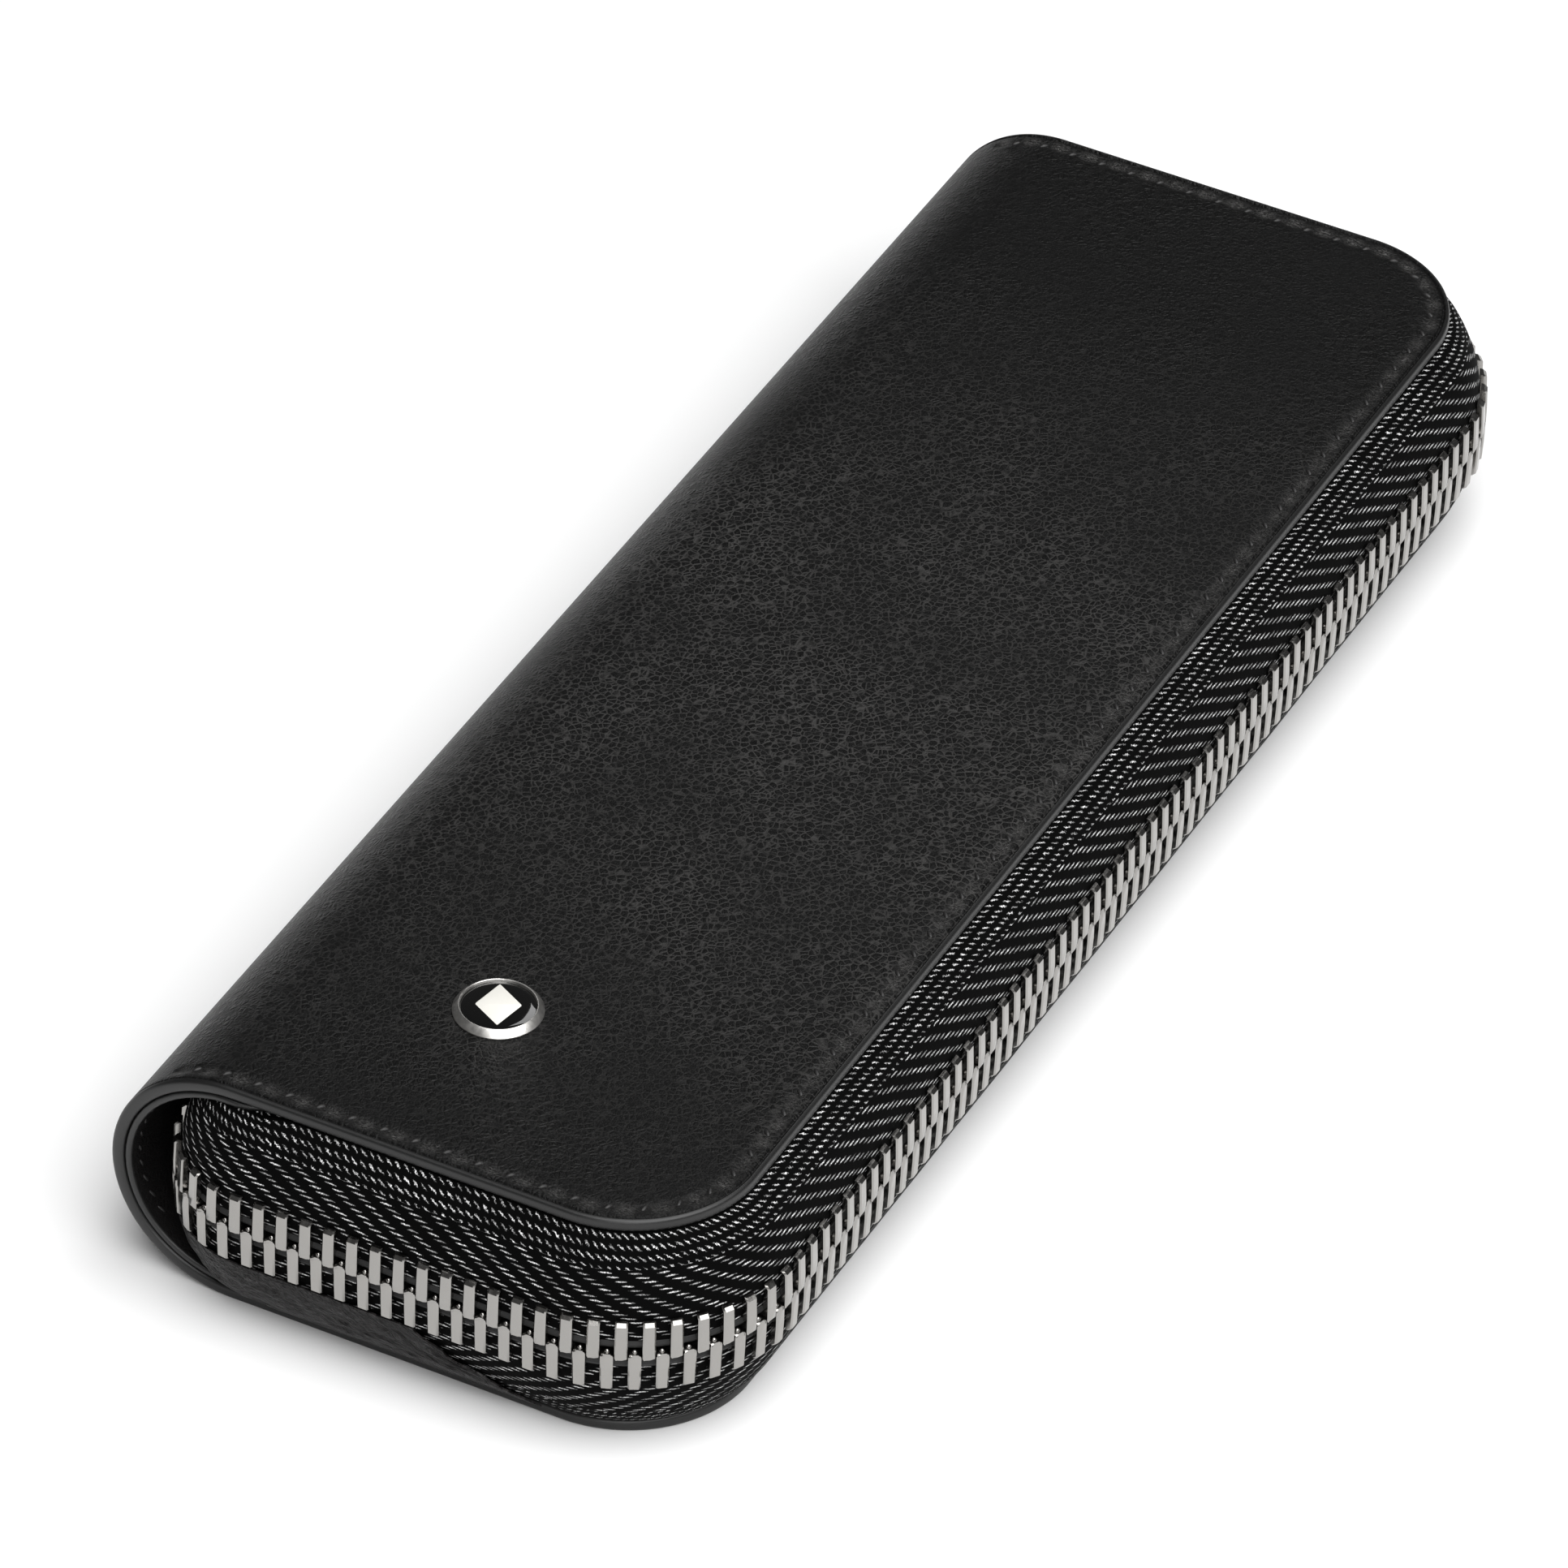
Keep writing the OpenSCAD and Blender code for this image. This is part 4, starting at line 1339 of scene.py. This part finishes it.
class PENCASE_OT_linings(Operator):
    """Builds both halves of the lining leather."""

    bl_idname = "pencase.linings"
    bl_label = "Linings"
    bl_options = {"REGISTER", "UNDO"}

    def execute(self, context):
        make_linings(Case(context.scene))
        return {"FINISHED"}


class PENCASE_OT_boards(Operator):
    """Builds the two stiffening boards."""

    bl_idname = "pencase.boards"
    bl_label = "Boards"
    bl_options = {"REGISTER", "UNDO"}

    def execute(self, context):
        make_boards(Case(context.scene))
        return {"FINISHED"}


class PENCASE_OT_tapes(Operator):
    """Builds both zip tapes with their cords."""

    bl_idname = "pencase.tapes"
    bl_label = "Zip tapes"
    bl_options = {"REGISTER", "UNDO"}

    def execute(self, context):
        make_tapes(Case(context.scene))
        return {"FINISHED"}


class PENCASE_OT_teeth(Operator):
    """Builds both rows of teeth and the stops at their ends."""

    bl_idname = "pencase.teeth"
    bl_label = "Zip teeth and stops"
    bl_options = {"REGISTER", "UNDO"}

    def execute(self, context):
        make_teeth(Case(context.scene))
        return {"FINISHED"}


class PENCASE_OT_facings(Operator):
    """Builds the creased leather facings beside the spine."""

    bl_idname = "pencase.facings"
    bl_label = "Facings"
    bl_options = {"REGISTER", "UNDO"}

    def execute(self, context):
        make_facings(Case(context.scene))
        return {"FINISHED"}


class PENCASE_OT_cover_stitching(Operator):
    """Sews both panels."""

    bl_idname = "pencase.cover_stitching"
    bl_label = "Cover stitching"
    bl_options = {"REGISTER", "UNDO"}

    def execute(self, context):
        make_cover_stitching(Case(context.scene))
        return {"FINISHED"}


class PENCASE_OT_lining_stitching(Operator):
    """Sews the lining at both ends of the spine."""

    bl_idname = "pencase.lining_stitching"
    bl_label = "Lining stitching"
    bl_options = {"REGISTER", "UNDO"}

    def execute(self, context):
        make_lining_stitching(Case(context.scene))
        return {"FINISHED"}


class PENCASE_OT_loops(Operator):
    """Builds the pen sleeve and the pen loops."""

    bl_idname = "pencase.loops"
    bl_label = "Pen sleeve and loops"
    bl_options = {"REGISTER", "UNDO"}

    def execute(self, context):
        make_loops(Case(context.scene))
        return {"FINISHED"}


class PENCASE_OT_loop_stitching(Operator):
    """Sews the sleeve and the loops down."""

    bl_idname = "pencase.loop_stitching"
    bl_label = "Loop stitching"
    bl_options = {"REGISTER", "UNDO"}

    def execute(self, context):
        make_loop_stitching(Case(context.scene))
        return {"FINISHED"}


class PENCASE_OT_badge(Operator):
    """Builds the round badge on the lid."""

    bl_idname = "pencase.badge"
    bl_label = "Badge"
    bl_options = {"REGISTER", "UNDO"}

    def execute(self, context):
        make_badge(Case(context.scene))
        return {"FINISHED"}


class PENCASE_OT_slider(Operator):
    """Builds the zip slider and its pin."""

    bl_idname = "pencase.slider"
    bl_label = "Slider"
    bl_options = {"REGISTER", "UNDO"}

    def execute(self, context):
        make_slider(Case(context.scene))
        return {"FINISHED"}


class PENCASE_OT_pull(Operator):
    """Builds the pull tab."""

    bl_idname = "pencase.pull"
    bl_label = "Pull tab"
    bl_options = {"REGISTER", "UNDO"}

    def execute(self, context):
        make_pull(Case(context.scene))
        return {"FINISHED"}


MAKERS = [
    PENCASE_OT_stage,
    PENCASE_OT_covers,
    PENCASE_OT_linings,
    PENCASE_OT_boards,
    PENCASE_OT_tapes,
    PENCASE_OT_teeth,
    PENCASE_OT_facings,
    PENCASE_OT_cover_stitching,
    PENCASE_OT_lining_stitching,
    PENCASE_OT_loops,
    PENCASE_OT_loop_stitching,
    PENCASE_OT_badge,
    PENCASE_OT_slider,
    PENCASE_OT_pull,
]


class PENCASE_PT_panel(Panel):
    """Lists the case's pieces in the sidebar."""

    bl_label = "Pen Case"
    bl_space_type = "VIEW_3D"
    bl_region_type = "UI"
    bl_category = "Pen Case"

    def draw(self, context):
        for group in (context.scene.pen_case_sizes, context.scene.pen_case_colours):
            for key in group.__annotations__:
                self.layout.prop(group, key)
        for operator in MAKERS:
            self.layout.operator(operator.bl_idname)


CLASSES = [CaseSizes, CaseColours, *MAKERS, PENCASE_PT_panel]


def register():
    for entry in CLASSES:
        bpy.utils.register_class(entry)
    bpy.types.Scene.pen_case_sizes = PointerProperty(type=CaseSizes)
    bpy.types.Scene.pen_case_colours = PointerProperty(type=CaseColours)


def unregister():
    del bpy.types.Scene.pen_case_colours
    del bpy.types.Scene.pen_case_sizes
    for entry in reversed(CLASSES):
        bpy.utils.unregister_class(entry)


def main():
    register()
    for operator in MAKERS:
        getattr(bpy.ops.pencase, operator.bl_idname.split(".")[1])()


if __name__ == "__main__":
    main()
